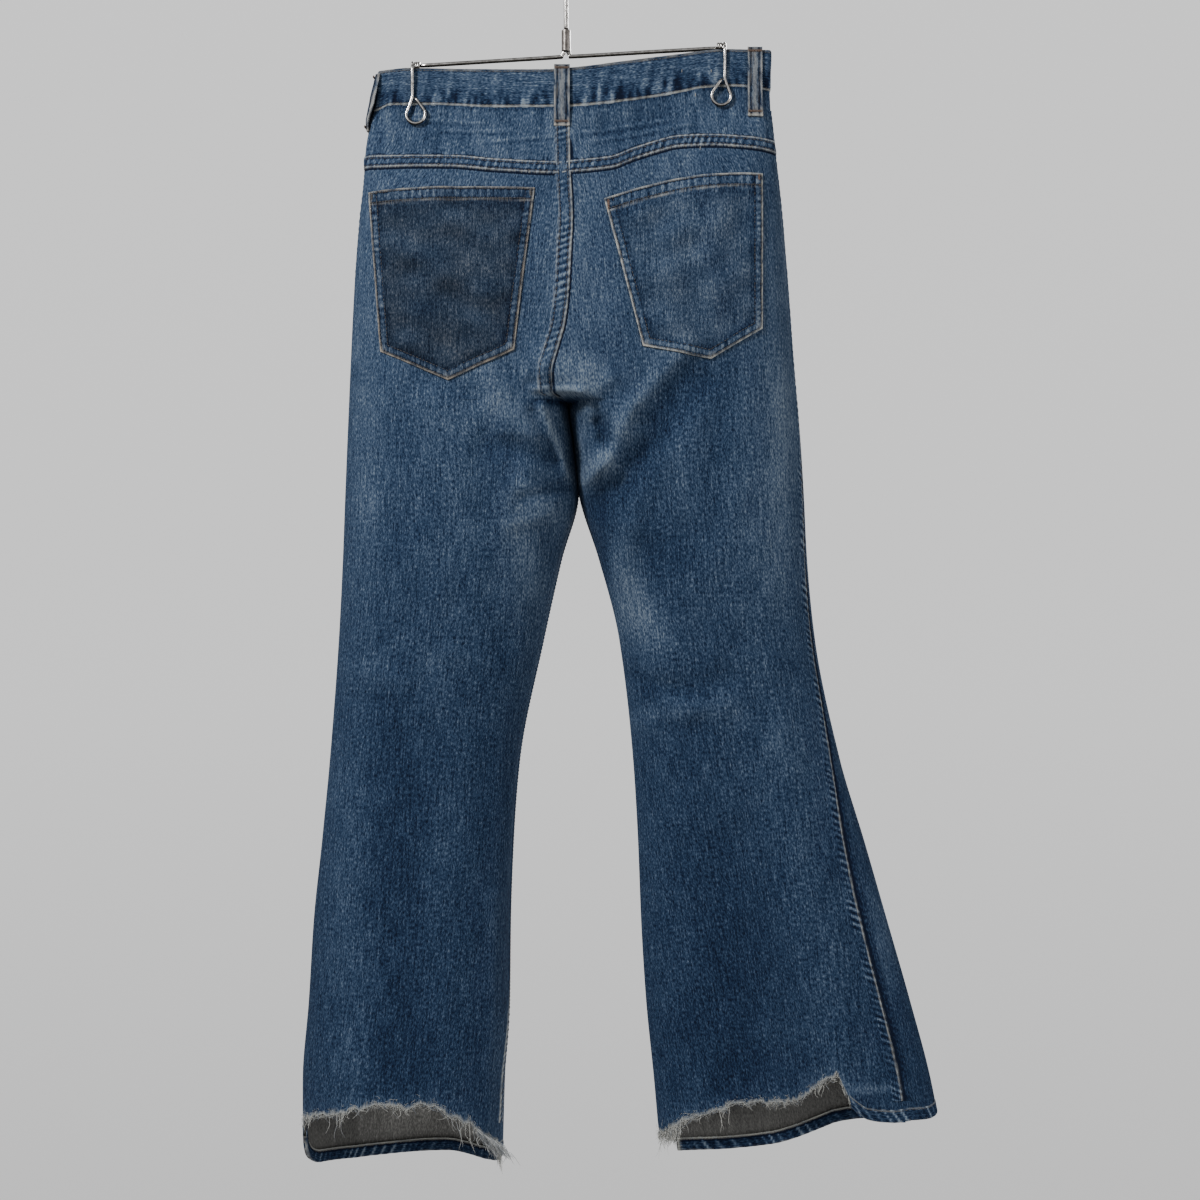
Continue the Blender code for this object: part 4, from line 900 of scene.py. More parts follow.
BACK_WEAR_AND_SHADING = (
    # x, drop, half width, half height in mm, lean in degrees, amount
    (0, 320, 34, 110, 0, 0.07),
    (70, 634, 20, 46, 14, 0.38),  # a bright rubbed place on the right thigh
    (-38, 585, 18, 70, 0, 0.2), (190, 570, 34, 150, 0, 0.1), (44, 506, 12, 26, 35, 0.14),
    # at drops 433 and 441: a painted highlight along the lip of the seat's overhang, and a painted
    # shadow under it
    (20, 412, 24, 16, 0, 0.07), (-6, 433, 24, 5, 0, 0.3), (-6, 441, 22, 3, 2, -0.6),
    (298, 1092, 36, 4, 0, 0.3), (-171, 320, 5, 7, 0, 0.28), (-168, 349, 6, 4, 0, 0.26),
    (-9, 478, 3.2, 34, 20, 0.2), (20, 462, 5, 26, -20, 0.14), (-60, 448, 46, 16, -8, 0.1),
    (-190, 520, 14, 200, 0, 0.1), (205, 470, 14, 120, 0, 0.16), (120, 470, 70, 90, 0, 0.05),
    (-110, 520, 60, 90, 0, 0.03), (90, 706, 50, 5, -3, 0.09), (100, 735, 50, 5, -3, 0.08),
    (160, 880, 50, 60, 0, 0.04), (-120, 900, 40, 90, 0, 0.03),
)
FRONT_WEAR = (
    (290, 970, 30, 190, -16, 0.17), (-150, 1130, 90, 40, 0, 0.2), (190, 1110, 90, 40, 0, -0.12),
    (-110, 560, 60, 160, 0, 0.12), (120, 560, 60, 160, 0, 0.12), (-130, 760, 60, 80, 0, 0.08),
    (150, 760, 60, 80, 0, 0.08),
)
WEAR_DOWN = ((110, 200, 330, 430, 600, 900, 1150), (0.1, 0.1, 0.08, 0.06, 0.0, -0.08, -0.11))
FOLD_WEAR_AND_SHADE = 0.028  # a millimetre of height: ridges rub paler, and troughs are darkened as painted shade
# Where each kind of piece starts in the weave, in metres, so that no two share a pattern
WEAVE_AT = {
    "back": 0.7, "front": 1.9, "seam": 3.1, "centre": 5.3, "mouth": 6.1, "pocket": 7.7, "band": 9.4,
    "loop": 11, "fly": 13.2, "hem": 15.5,
}


def panel_levels(pitch):
    """The drops of a panel's rows, close together where the seat seam turns under."""
    above = np.arange(UPPER_TOP, RISE_START - 0.5 * pitch, pitch)
    steps = int(1.7 * (CROTCH_DROP - RISE_START) / pitch)
    reached = np.sin(0.5 * math.pi * np.arange(steps + 1) / steps)
    turning = RISE_START + (CROTCH_DROP - RISE_START) * reached
    below = np.linspace(CROTCH_DROP, LEG_END, int((LEG_END - CROTCH_DROP) / pitch) + 1)[1:]
    return np.concatenate((above, turning, below))


def panel_places(side, back, pitch, top, bottom):
    """Ring places and drops of a leg panel, from its top line to its hem."""
    levels = panel_levels(pitch)
    widest = float(half_length(side, back, np.array(levels[-1])))
    shares = np.linspace(0, 1, int(widest / pitch) + 1)
    start = np.full(len(shares), levels[0])
    _, top_drop = settle(side, back, shares, top, start)
    _, bottom_drop = settle(side, back, shares, bottom, start + levels[-1])
    low = levels[:, None]
    top_share = np.clip(1 - (low - levels[0]) / TOP_BLEND, 0, 1)
    low_share = np.clip(1 - (levels[-1] - low) / HEM_BLEND, 0, 1)
    drop = low + (top_drop - levels[0]) * top_share + (bottom_drop - levels[-1]) * low_share
    q = np.stack([ring_places(side, back, shares, row) for row in drop])
    return q, drop


def weave_u(side, q, drop, back):
    """Distance across the yarns, from the grain line of a panel."""
    reach = np.abs(column(GRAIN[side], 1, drop) - column(ROWS[side], 1, drop))
    across = np.abs(q) * half_length(side, back, drop) - reach
    return across + WEAVE_AT["back" if back else "front"] + SIGN[side]


def patch_of(side, q, drop, back, lift=0.0):
    points = surface(side, q, drop)
    normal = normals(side, q, drop, *ring_limits(drop, back))
    return Patch(points, normal, weave_u(side, q, drop, back), drop, lift)


def patches(table, x, drop):
    """Wear at each place from a table of soft patches."""
    total = np.zeros(np.broadcast(x, drop).shape)
    for at_x, at_drop, wide, high, lean, amount in table:
        a = math.radians(lean)
        dx, dd = (x - at_x * MM), (drop - at_drop * MM)
        along = (dx * math.sin(a) + dd * math.cos(a)) / (high * MM)
        beside = (dx * math.cos(a) - dd * math.sin(a)) / (wide * MM)
        total = total + amount * np.exp(-(along**2) - beside**2)
    return total


def wear_and_shade_at(back, x, drop):
    """How rubbed the cloth is: paler over the seat and thighs and darker towards the hem, with
    painted shade in the troughs of folds and a painted highlight and shadow at the lip of the
    seat's overhang.
    """
    base = np.interp(drop / MM, *WEAR_DOWN)
    seed = SEEDS["back_wear" if back else "front_wear"]
    cloudy = 0.03 * ripple(seed, x, 0.6 * drop, 30, 120)
    # paler on the ridges of folds where they rub, and darker in their troughs as painted shade
    rubbed = np.clip(FOLD_WEAR_AND_SHADE * all_folds(back, x, drop) / MM, -0.2, 0.16)
    return base + patches(BACK_WEAR_AND_SHADING if back else FRONT_WEAR, x, drop) + cloudy + rubbed


def wear_and_shade_round(points, drop):
    """The same where a piece has points on both faces."""
    back = points[..., 1] < 0
    x = points[..., 0]
    return wear_and_shade_at(True, x, drop) * back + wear_and_shade_at(False, x, drop) * ~back


def declare(patch):
    width, length, area = patch.sizes()


# ---------------------------------------------------------------- leg panels
def add_leg_panel(side, back):
    pitch = (3.2 if back else 4.6) * MM
    top = yoke_line if back else mouth_line
    bottom = back_edge_line if back else front_hem_line
    q, drop = panel_places(side, back, pitch, top, bottom)
    patch = patch_of(side, q, drop, back)
    x = patch.points[..., 0]
    wear = wear_and_shade_at(back, x, drop)
    edge = 0.0
    if back:
        to_end = drop[-1][None, :] - drop
        torn = step_up(q[-1], HEM_ENDS[side] - 0.01, HEM_ENDS[side] + 0.01)
        reach = (2.1 + 2.4 * ripple(SEEDS["tear"] + 2, x, 0.0, 4, 14)) * MM
        edge = 0.5 * torn * np.clip(1 - to_end / np.maximum(reach, 0.6 * MM), 0, 1)
        wear = wear + 0.12 * torn * np.clip(1 - to_end / (22 * MM), 0, 1)
        curl = torn * np.clip(1 - to_end / (14 * MM), 0, 1) ** 2
        patch.lift(curl * 1.4 * MM * ripple(SEEDS["tear"], x, 0.0, 12, 40))
    name = f"{'back' if back else 'front'}_{side}"
    return add_cloth(f"cloth_{name}", patch, CLOTH, wear, edge, stands_for=(name,)), patch


# ---------------------------------------------------------------- strips along the seams
PUCKER_PITCH = 6.5 * MM
PUCKER_HEIGHT = 0.38  # the most, in mm
EDGE_FADE = 2.5 * MM  # a strip's edges sink into the cloth over this


def rope(seed, run, pitch=PUCKER_PITCH):
    """Uneven puckers along a seam, about -1 to 1."""
    drift = 2.2 * ripple(seed, run, 0, 30, 90, 6)
    strength = 0.65 + 0.35 * ripple(seed + 1, run, 0, 15, 50, 6)
    return np.sin(2 * math.pi * run / pitch + drift) * strength


def add_strip(name, patch, run, across, strip, wear, grow=1.0):
    """A raised seam laid on a patch, from one of the tables of strips."""
    seed, pucker = strip["seed"], strip["pucker"]
    low, high = across.min(), across.max()
    fade = step_up(across, low, low + EDGE_FADE) * (1 - step_up(across, high - EDGE_FADE, high))
    lift = (0.75 * fade - 0.35) * MM
    raised = np.zeros(across.shape)
    for start, end, height in strip["bands"]:
        ramp = 0.8 * MM
        inside = step_up(across, start * MM - ramp, start * MM)
        inside = inside * (1 - step_up(across, end * MM, end * MM + ramp))
        lift = lift + inside * height * MM
        raised = np.maximum(raised, inside)
    waves = grow * rope(seed, run + strip["slant"] * across)
    raised = np.clip(raised, 0.25, 1)
    lift = lift + fade * min(pucker, PUCKER_HEIGHT) * MM * waves * raised
    rough = 0.06 * ripple(seed + 5, run, across, 4, 14)
    tone = wear + fade * raised * (0.8 * pucker * waves + rough)
    cream = np.zeros(across.shape)
    for at, half_width, amount in strip["edges"]:
        line = bump(across, at * MM, half_width * MM)
        # a minus edge darkens and sinks the strip; beside a band or in a ditch the dark is painted
        # shade
        if amount < 0:
            tone = tone + amount * line
            lift = lift + 0.3 * MM * amount * line * fade
        else:
            rough = np.clip(0.85 + 0.22 * waves + 0.22 * ripple(seed + 9, run, 0, 4, 20), 0.2, 1.2)
            cream = cream + grow * amount * line * rough
    patch.lift(lift)
    return add_cloth(name, patch, 0.5 * MM, tone, cream)


# Each strip: from and to across it in mm; bands (from, to, height) that stand out; edges (place,
# half width, amount), pale where rubbed and dark with a minus, those beside a band or in a ditch
# being painted shade; lines of stitches and their tone
# the outseam's edges at -2.2 and -6.0 mm are painted shade in the ditch beside the seam
OUTSEAM = {
    "across": (-12, 12), "bands": ((-0.4, 7.5, 0.3),), "seed": 111, "pucker": 0.62, "slant": 0.5,
    "edges": ((0.3, 0.6, 0.55), (-2.2, 1.8, -0.75), (-6.0, 3.5, -0.12)), "stitches": (), "tone": 0,
}
INSEAM = {
    "across": (-3, 11), "bands": ((0, 8.5, 0.45),), "seed": 121, "pucker": 0.55, "slant": 0.5,
    "edges": ((0.2, 0.8, 0.8), (8.2, 0.8, 0.6), (4.2, 1.5, -0.2)), "stitches": (2.2, 7.2),
    "tone": 0.6, "swell": (985, 1050),  # smooth above these drops and puckered below
}
# the yoke strip's edge at -1.9 mm is a painted shadow above the band
YOKE_STRIP = {
    "across": (-3.5, 14.5), "bands": ((-0.5, 10.8, 0.75),), "seed": 61, "pucker": 0.38,
    "edges": (
        (0.0, 0.6, 0.5), (10.3, 0.6, 0.6), (2.2, 0.9, -0.5), (8.4, 0.9, -0.5), (-1.9, 1.2, -0.5)
    ),
    "slant": 0.35, "stitches": (2.2, 8.6), "tone": 0.6,
}
# the seat seam's edge at 2.4 mm is painted shade beside the band
SEAT_SEAM = {
    "across": (-16, 4.5), "bands": ((-12.4, 0.3, 0.8),), "seed": 131, "pucker": 0.42,
    "edges": (
        (0.1, 0.6, 0.8), (-12.2, 0.6, 0.2), (2.4, 1.5, -0.9), (-2.0, 0.9, -0.45), (-10.4, 0.9, -0.4)
    ),
    "slant": 0.35, "stitches": (-2.0, -10.4), "tone": 0.6,
}
RISE_SEAM = {
    "across": (-4.5, 11), "bands": ((-0.3, 8.6, 0.6),), "seed": 141, "pucker": 0.3, "slant": 0.35,
    "edges": ((0.0, 0.8, 0.6), (8.4, 0.7, 0.25)), "stitches": (2.0, 7.0), "tone": 0.4,
}
MOUTH_EDGE = {
    "across": (0, 9), "bands": ((0.2, 8.2, 0.5),), "seed": 91, "pucker": 0.22, "slant": 0.0,
    "edges": ((0.3, 0.9, 0.6), (1.9, 0.5, -0.2), (7.4, 0.5, -0.2)), "stitches": (1.9, 7.2),
    "tone": 0.4,
}
SEAM_PITCH, CENTRE_PITCH = (1.5, 1.1), (1.3, 1.0)  # mm down and across the strips' grids
SEAM_SPAN = {"left": (172, 1112), "right": (158, 1104)}  # drops in mm
INSEAM_TOP, INSEAM_PAST = 446, 12  # it starts here, and ends this far past the outseam


def strip_grid(start, end, strip, pitch):
    """Drops and offsets across, in metres, at the points of a strip's grid."""
    (low, high), (down, across) = strip["across"], pitch
    drop = np.linspace(start, end, int((end - start) / down) + 1)[:, None] * MM
    across = np.linspace(low, high, int((high - low) / across) + 1)[None, :] * MM
    return np.broadcast_arrays(drop, across)


def seam_strip(name, side, which, start, end, strip):
    """A strip down an outseam or inseam; offsets run towards the back on an outseam."""
    drop, across = strip_grid(start, end, strip, SEAM_PITCH)
    q = seam_q(side, which, drop) + across / half_length(side, True, drop)
    points = surface(side, q, drop)
    patch = Patch(points, normals(side, q, drop), WEAVE_AT["seam"] + across, drop)
    wear = wear_and_shade_round(points, drop)
    grow = 1.0
    if "swell" in strip:
        grow = step_up(drop, *(level * MM for level in strip["swell"]))
        wear = wear + 0.2 * grow
    piece = add_strip(name, patch, drop, across, strip, wear, grow)
    SEWING.lines(patch, across, strip["stitches"], strip["tone"])
    return piece


def centre_strip(name, back, start, end, strip):
    """A strip down the centre of the seat or the front rise, offsets running to the right."""
    drop, across = strip_grid(start, end, strip, CENTRE_PITCH)
    x = column(CENTRE_SEAM, 1 if back else 2, drop) + across
    patch = Patch(*on_face(back, x, drop), WEAVE_AT["centre"] + across, drop)
    piece = add_strip(name, patch, drop, across, strip, wear_and_shade_at(back, x, drop))
    SEWING.lines(patch, across, strip["stitches"], strip["tone"])
    return piece


# ---------------------------------------------------------------- yokes and the seams under them
YOKE_DRAGS = (
    # x, drop, x, drop in mm: lines pulled through the yokes by the clips and the loop
    (-150, 166, -86, 171), (-118, 178, -60, 180), (18, 182, 96, 168), (30, 190, 120, 172),
    (-66, 190, -18, 186),
)


def add_yoke(side):
    columns = int(half_length(side, True, np.array(YOKE_LEVEL)) / (1.9 * MM))
    shares = np.linspace(0, 1, columns)
    q_top, top = settle(side, True, shares, waist_line, np.full(columns, WAIST_LEVEL))
    q_low, low = settle(side, True, shares, yoke_line, np.full(columns, YOKE_LEVEL))
    share = np.linspace(0, 1, 30)[:, None]
    drop = top + (low - top) * share
    patch = patch_of(side, q_top + (q_low - q_top) * share, drop, True)
    x = patch.points[..., 0]
    seed = SEEDS["yoke"]
    rippled = ripple(seed, x, 0.35 * drop, 9, 34)
    pull = bump(drop, top, 14 * MM) * rope(seed + 1, x, 11 * MM)
    pull = pull + bump(drop, low, 12 * MM) * rope(seed + 2, x)
    patch.lift(0.3 * MM * (rippled + pull))
    # the dark line along the yoke's top is a painted shadow under the waistband
    wear = wear_and_shade_at(True, x, drop) + 0.06 * rippled + 0.08 * pull - 0.22 * bump(drop, top, 3 * MM)
    for x1, drop1, x2, drop2 in YOKE_DRAGS:
        ahead = np.clip((x - x1 * MM) / ((x2 - x1) * MM), 0, 1)
        beside = drop - (drop1 + (drop2 - drop1) * ahead) * MM
        past = np.maximum(np.abs(x - 0.5 * (x1 + x2) * MM) - 0.5 * abs(x2 - x1) * MM, 0)
        ends = bump(past, 0, 8 * MM)
        line, shade = bump(beside, 0, 1.8 * MM) * ends, bump(beside, 3 * MM, 1.8 * MM) * ends
        wear = wear + 0.14 * line - 0.14 * shade
        patch.lift(0.55 * MM * (line - 0.6 * shade))
    name = f"yoke_{side}"
    return add_cloth(f"cloth_{name}", patch, CLOTH, wear, stands_for=(name,)), patch


def add_yoke_seam(side):
    """The felled seam under a yoke: a raised band with two rubbed edges, and painted shadow above
    and below it.
    """
    strip = YOKE_STRIP
    start = seam_q(side, "side", np.array(YOKE_LEVEL))
    length = float(half_length(side, True, np.array(YOKE_LEVEL)) * (1 - start))
    q = np.linspace(float(start), 1, int(length / (1.3 * MM)))[None, :]
    across = np.linspace(*strip["across"], 21)[:, None] * MM
    q, across = np.broadcast_arrays(q, across)
    drop = yoke_line(side, q) + across
    patch = patch_of(side, q, drop, True)
    x = patch.points[..., 0]
    # the dark line 12.4 mm down is a painted shadow under the raised band
    wear = wear_and_shade_at(True, x, drop) - 0.7 * bump(across, 12.4 * MM, 1.7 * MM)
    piece = add_strip(f"seam_yoke_{side}", patch, x, across, strip, wear)
    SEWING.lines(patch, across, strip["stitches"], strip["tone"], down=False)
    return piece


# ---------------------------------------------------------------- back pockets
POCKET_STITCHES = (2.0, 8.0)  # from the fold, in mm
POCKET_HEM = 12.5
POCKET_TOP_STITCHES = (2.2, POCKET_HEM - 1.2)
POCKET_LOOKS = {
    # seed, wear, grime, tone of the bars of thread
    "back_pocket_left": (151, -0.02, 0.72, 0.55),
    "back_pocket_right": (161, 0.04, 0.22, 0.95),
}


def clustered(length, fine, coarse, reach):
    """Shares of a length, close together at both its ends."""
    places = [0.0]
    while places[-1] < length:
        near = min(places[-1], length - places[-1])
        places.append(places[-1] + fine + (coarse - fine) * min(1.0, max(0.0, near) / reach))
    return np.array(places) / places[-1]


def distance_to(x, drop, start, end):
    run = end - start
    t = np.clip(((x - start[0]) * run[0] + (drop - start[1]) * run[1]) / (run @ run), 0, 1)
    return np.hypot(x - start[0] - t * run[0], drop - start[1] - t * run[1])


def pocket_relief(name, seed, x, drop, rim, from_top, run, slack):
    """How far a back pocket stands out, with its fading, its rubbed edges, and painted shade in
    from its stitched band and below its hem.
    """
    _, tint, _, _ = POCKET_LOOKS[name]
    waves, top_waves = rope(seed, run, 6.2 * MM), rope(seed + 2, x, 7.4 * MM)
    in_band = step_up(rim, 1.5 * MM, 3 * MM) * (1 - step_up(rim, 7.5 * MM, 9 * MM))
    in_hem = step_up(from_top, 1.5 * MM, 3 * MM) * (1 - step_up(from_top, 11 * MM, 13 * MM))
    lines = lines_at(rim, POCKET_STITCHES, 0.8)
    top_lines = lines_at(from_top, POCKET_TOP_STITCHES, 0.9)
    blotches = ripple(seed + 4, x, drop, 14, 46)
    in_turning = 1 - step_up(rim, 8 * MM, 11 * MM)
    in_turning = np.maximum(in_turning, 1 - step_up(from_top, 11.5 * MM, 13.5 * MM))
    lift = POCKET_LIFT + 0.7 * MM + slack + 0.22 * MM * blotches + 0.55 * MM * in_turning
    lift = lift + 0.3 * MM * (waves * in_band + top_waves * in_hem)
    lift = lift - 0.35 * MM * (lines + top_lines)
    lift = lift - 0.7 * MM * (1 - step_up(rim, 0, 1.2 * MM))
    lift = lift - 0.3 * MM * (1 - step_up(from_top, 0, 1.2 * MM))
    worn = 0.95 * bump(rim, 0.3 * MM, 0.85 * MM) + 0.7 * bump(from_top, 0.3 * MM, 0.9 * MM)
    worn = worn + 0.3 * bump(from_top, POCKET_HEM * MM, 0.8 * MM)
    worn = worn * np.clip(0.8 + 0.4 * waves + 0.3 * ripple(seed + 6, x, drop, 5, 20), 0.15, 1.3)
    corners = [np.array(corner) * MM for corner in BACK_POCKETS[name][2:5]]
    away = [np.hypot(x - corner[0], drop - corner[1]) for corner in corners]
    worn = worn + 0.5 * sum(bump(far, 0, 3.5 * MM) for far in away)
    wear = tint + wear_and_shade_at(True, x, drop) + 0.05 * blotches + 0.28 * waves * in_band
    wear = wear + 0.26 * top_waves * in_hem - 0.5 * (lines + top_lines)
    wear = wear + 0.2 * sum(bump(far, 0, 7 * MM) for far in away)
    # the dark line in from the stitched band, where the turned edge steps down, and the one below
    # the hem are painted shade
    wear = wear + 0.05 * in_band - 0.16 * bump(rim, 10.5 * MM, 2.5 * MM)
    wear = wear - 0.14 * bump(from_top, 17 * MM, 5 * MM)
    return lift, wear, worn, np.maximum(in_band, in_hem)


def add_back_pocket(name):
    *corners, bow = BACK_POCKETS[name]
    seed, _, grime, tone = POCKET_LOOKS[name]
    top_out, top_in, low_in, tip, low_out = (np.array(corner) * MM for corner in corners)
    height = np.linalg.norm(low_in - top_in)
    u = clustered(np.linalg.norm(top_in - top_out), 1.0 * MM, 2.6 * MM, 24 * MM)[None, :, None]
    v = clustered(height, 1.0 * MM, 2.6 * MM, 30 * MM)[:, None]
    top = top_out + (top_in - top_out) * u
    top = top - np.array((0, bow * MM)) * np.sin(math.pi * u)
    first = low_out + (tip - low_out) * u * 2
    second = tip + (low_in - tip) * (u - 0.5) * 2
    flat = top + (np.where(u <= 0.5, first, second) - top) * v[..., None]
    x, drop = flat[..., 0], flat[..., 1]
    sides = np.minimum(distance_to(x, drop, top_out, low_out), distance_to(x, drop, top_in, low_in))
    feet = np.minimum(distance_to(x, drop, low_out, tip), distance_to(x, drop, low_in, tip))
    rim = np.minimum(sides, feet)
    from_top = drop - top[0, :, 1][None, :]
    slack = POCKET_SLACK * np.sin(math.pi * u[..., 0]) * np.cos(0.5 * math.pi * v)
    run = np.where(sides < feet, drop, x)
    lift, wear, worn, in_seams = pocket_relief(name, seed, x, drop, rim, from_top, run, slack)
    weave = WEAVE_AT["pocket"] + x + 0.04 * seed
    patch = Patch(*on_face(True, x, drop), weave, drop, lift)
    low = np.clip(from_top / height, 0, 1)
    grime = grime * (0.9 + 0.2 * low) + 0.12 * ripple(seed + 8, x, drop, 20, 60)
    grime = np.clip(grime, 0, 1) * (1 - in_seams * 0.5)
    under = lift + 0.3 * MM
    thickness = np.maximum(1.0 * MM, under * (1 - step_up(rim, 2 * MM, 6 * MM)))
    thickness = np.minimum(under, thickness)
    piece = add_cloth(f"cloth_{name}", patch, thickness, wear, worn, grime, (name,))
    sew_pocket(top_out, top_in, low_in, tip, low_out, bow, tone)
    return piece, patch


def sew_pocket(top_out, top_in, low_in, tip, low_out, bow, tone):
    outline = (top_out, low_out, tip, low_in, top_in)
    centre = 0.25 * (top_out + top_in + low_out + low_in)
    for at in POCKET_STITCHES:
        sew_outline([inset(outline, k, at * MM, centre) for k in range(5)])
    across = np.linspace(0.012, 0.988, 120)
    for at in POCKET_TOP_STITCHES:
        line = top_out + (top_in - top_out) * across[:, None]
        line[:, 1] += at * MM - bow * MM * np.sin(math.pi * across)
        sew_flat(line, POCKET_LIFT + 1.4 * MM + POCKET_SLACK * np.sin(math.pi * across))
    for corner, inward in ((top_out, 1), (top_in, -1)):
        side_way = np.sign(top_in[0] - top_out[0]) * inward
        at = corner + np.array((side_way * 4.0, 7.5)) * MM
        point, turned = on_face(True, at[0], at[1])
        point = point + turned * POCKET_LIFT * 2.3
        SEWING.bartack(point, turned, np.array((0, 0, -1.0)), 11 * MM, 2.2 * MM, tone)


def inset(outline, k, distance, centre):
    """A corner of an open outline, moved in from the two edges that meet there."""
    here = outline[k]
    ways = []
    for other in (k - 1, k + 1):
        if 0 <= other < len(outline):
            run = outline[other] - here
            run = run / np.linalg.norm(run)
            across = np.array((-run[1], run[0]))
            ways.append((across if across @ (centre - here) > 0 else -across, run))
    if len(ways) == 1:
        return here + ways[0][0] * distance + ways[0][1] * 1.5 * MM
    system = np.array((ways[0][0], ways[1][0]))
    return here + np.linalg.solve(system, np.array((distance, distance)))


def sew_outline(corners):
    parts = []
    for start, end in zip(corners, corners[1:]):
        steps = int(np.linalg.norm(end - start) / (1.5 * MM)) + 2
        parts.append(start + (end - start) * np.linspace(0, 1, steps)[:, None])
    line = np.concatenate(parts)
    sew_flat(line, np.full(len(line), POCKET_LIFT + 1.1 * MM))


def sew_flat(line, lift, tone=0.62):
    points, normal = on_face(True, line[:, 0], line[:, 1])
    SEWING.run(points + lift[:, None] * normal, normal, tone=tone)


# ---------------------------------------------------------------- waistband
BAND_PROUD = 0.5 * MM
BAND_HEIGHT = 38  # mm
BAND_STITCHES = (2.6, 35.2)  # mm from its top


def waistband_grid(rows):
    """Points, normals and the lift of the lap, where the left end covers the right in front."""
    length = float(half_length("left", False, np.array(WAIST_TOP_LEVEL)))
    lap_lift = BAND_WALL + 2 * LIFT
    lap_run = 20 * MM
    runs = (
        ("right", -1 + FLY_OVERLAP / length * np.linspace(1, 0.04, 8), False),
        ("left", np.linspace(-1, 0, 105), False),
        ("left", np.linspace(0.01, 1, 105), True),
        ("right", np.linspace(1, 0.01, 110)[1:], True),
        ("right", np.linspace(0, -1, 110), False),
    )
    share = np.linspace(0, 1, rows)[:, None]
    grids = []
    for part, (side, q, back) in enumerate(runs):
        q = q[None, :] + np.zeros((rows, 1))
        top, low = waist_top_line(side, q), waist_line(side, q)
        drop = top + (low + 0.4 * MM - top) * share
        lap = np.full(q.shape, lap_lift if part == 0 else 0.0)
        if part == 1:
            lap = lap_lift * np.maximum(0.0, 1 - (q + 1) * length / lap_run)
        limits = (-FREE, 1.0) if back else (-1.0, FREE)
        grids.append((surface(side, q, drop), normals(side, q, drop, *limits), lap))
    return (np.concatenate(grid, axis=1) for grid in zip(*grids))


def add_waistband():
    rows = 25
    share = np.linspace(0, 1, rows)[:, None]
    points, normal, lap = waistband_grid(rows)
    step = np.linalg.norm(np.diff(points[12], axis=0), axis=1)
    run = np.concatenate(((0.0,), np.cumsum(step)))[None, :] + np.zeros((rows, 1))
    height = share * BAND_HEIGHT * MM + np.zeros(run.shape)
    seed = SEEDS["band"]
    broad = ripple(seed, run, 0.25 * height, 10, 30)
    fine = ripple(seed + 1, run, 0.3 * height, 5, 12)
    foot = rope(seed + 2, run, 7.0 * MM) * step_up(share, 0.62, 0.95)
    head = rope(seed + 4, run, 9.0 * MM) * (1 - step_up(share, 0.05, 0.32))
    lines = lines_at(height, BAND_STITCHES, 0.8)
    lower = step_up(share, 0.42, 0.75)
    relief = (0.15 + 0.4 * lower) * broad + 0.14 * fine + 0.4 * foot + 0.12 * head - 0.35 * lines
    rounded_off = 1 - step_up(height, 0, 2 * MM) + step_up(height, 36.6 * MM, BAND_HEIGHT * MM)
    lift = BAND_PROUD + relief * MM - 0.9 * MM * rounded_off + lap
    patch = Patch(points, normal, height + WEAVE_AT["band"], run, lift)
    wear = 0.1 + (0.05 + 0.34 * lower) * broad + (0.05 + 0.17 * lower) * fine + 0.28 * foot
    wear = wear + 0.04 * head - 0.2 * lines - 0.05 * lower
    wear = wear + 0.03 * np.where(points[..., 0] < 0, 1, -1)
    wear = wear + 0.06 * ripple(seed + 5, 0.22 * run, height, 3, 9) * (1 - lower)
    cream = 0.8 * bump(height, 37.0 * MM, 0.9 * MM) * np.clip(0.85 + 0.3 * foot, 0, 1.3)
    cream = cream + 0.28 * bump(height, 0.6 * MM, 1.3 * MM) * np.clip(0.7 + 0.6 * broad, 0, 1.4)
    dirt = 0.7 * bump(height, 0.6 * MM, 1.8 * MM) + 0.2 * lines
    piece = add_cloth("cloth_waistband", patch, BAND_WALL, wear, cream, dirt, ("waistband",))
    SEWING.lines(patch, height, BAND_STITCHES, 0.6, down=False)
    return piece, patch


# ---------------------------------------------------------------- belt loops
LOOP_SIZE = (15, 60)  # mm, of every loop's grain
LOOP_BARS = (0.055, 0.93)  # shares of the length


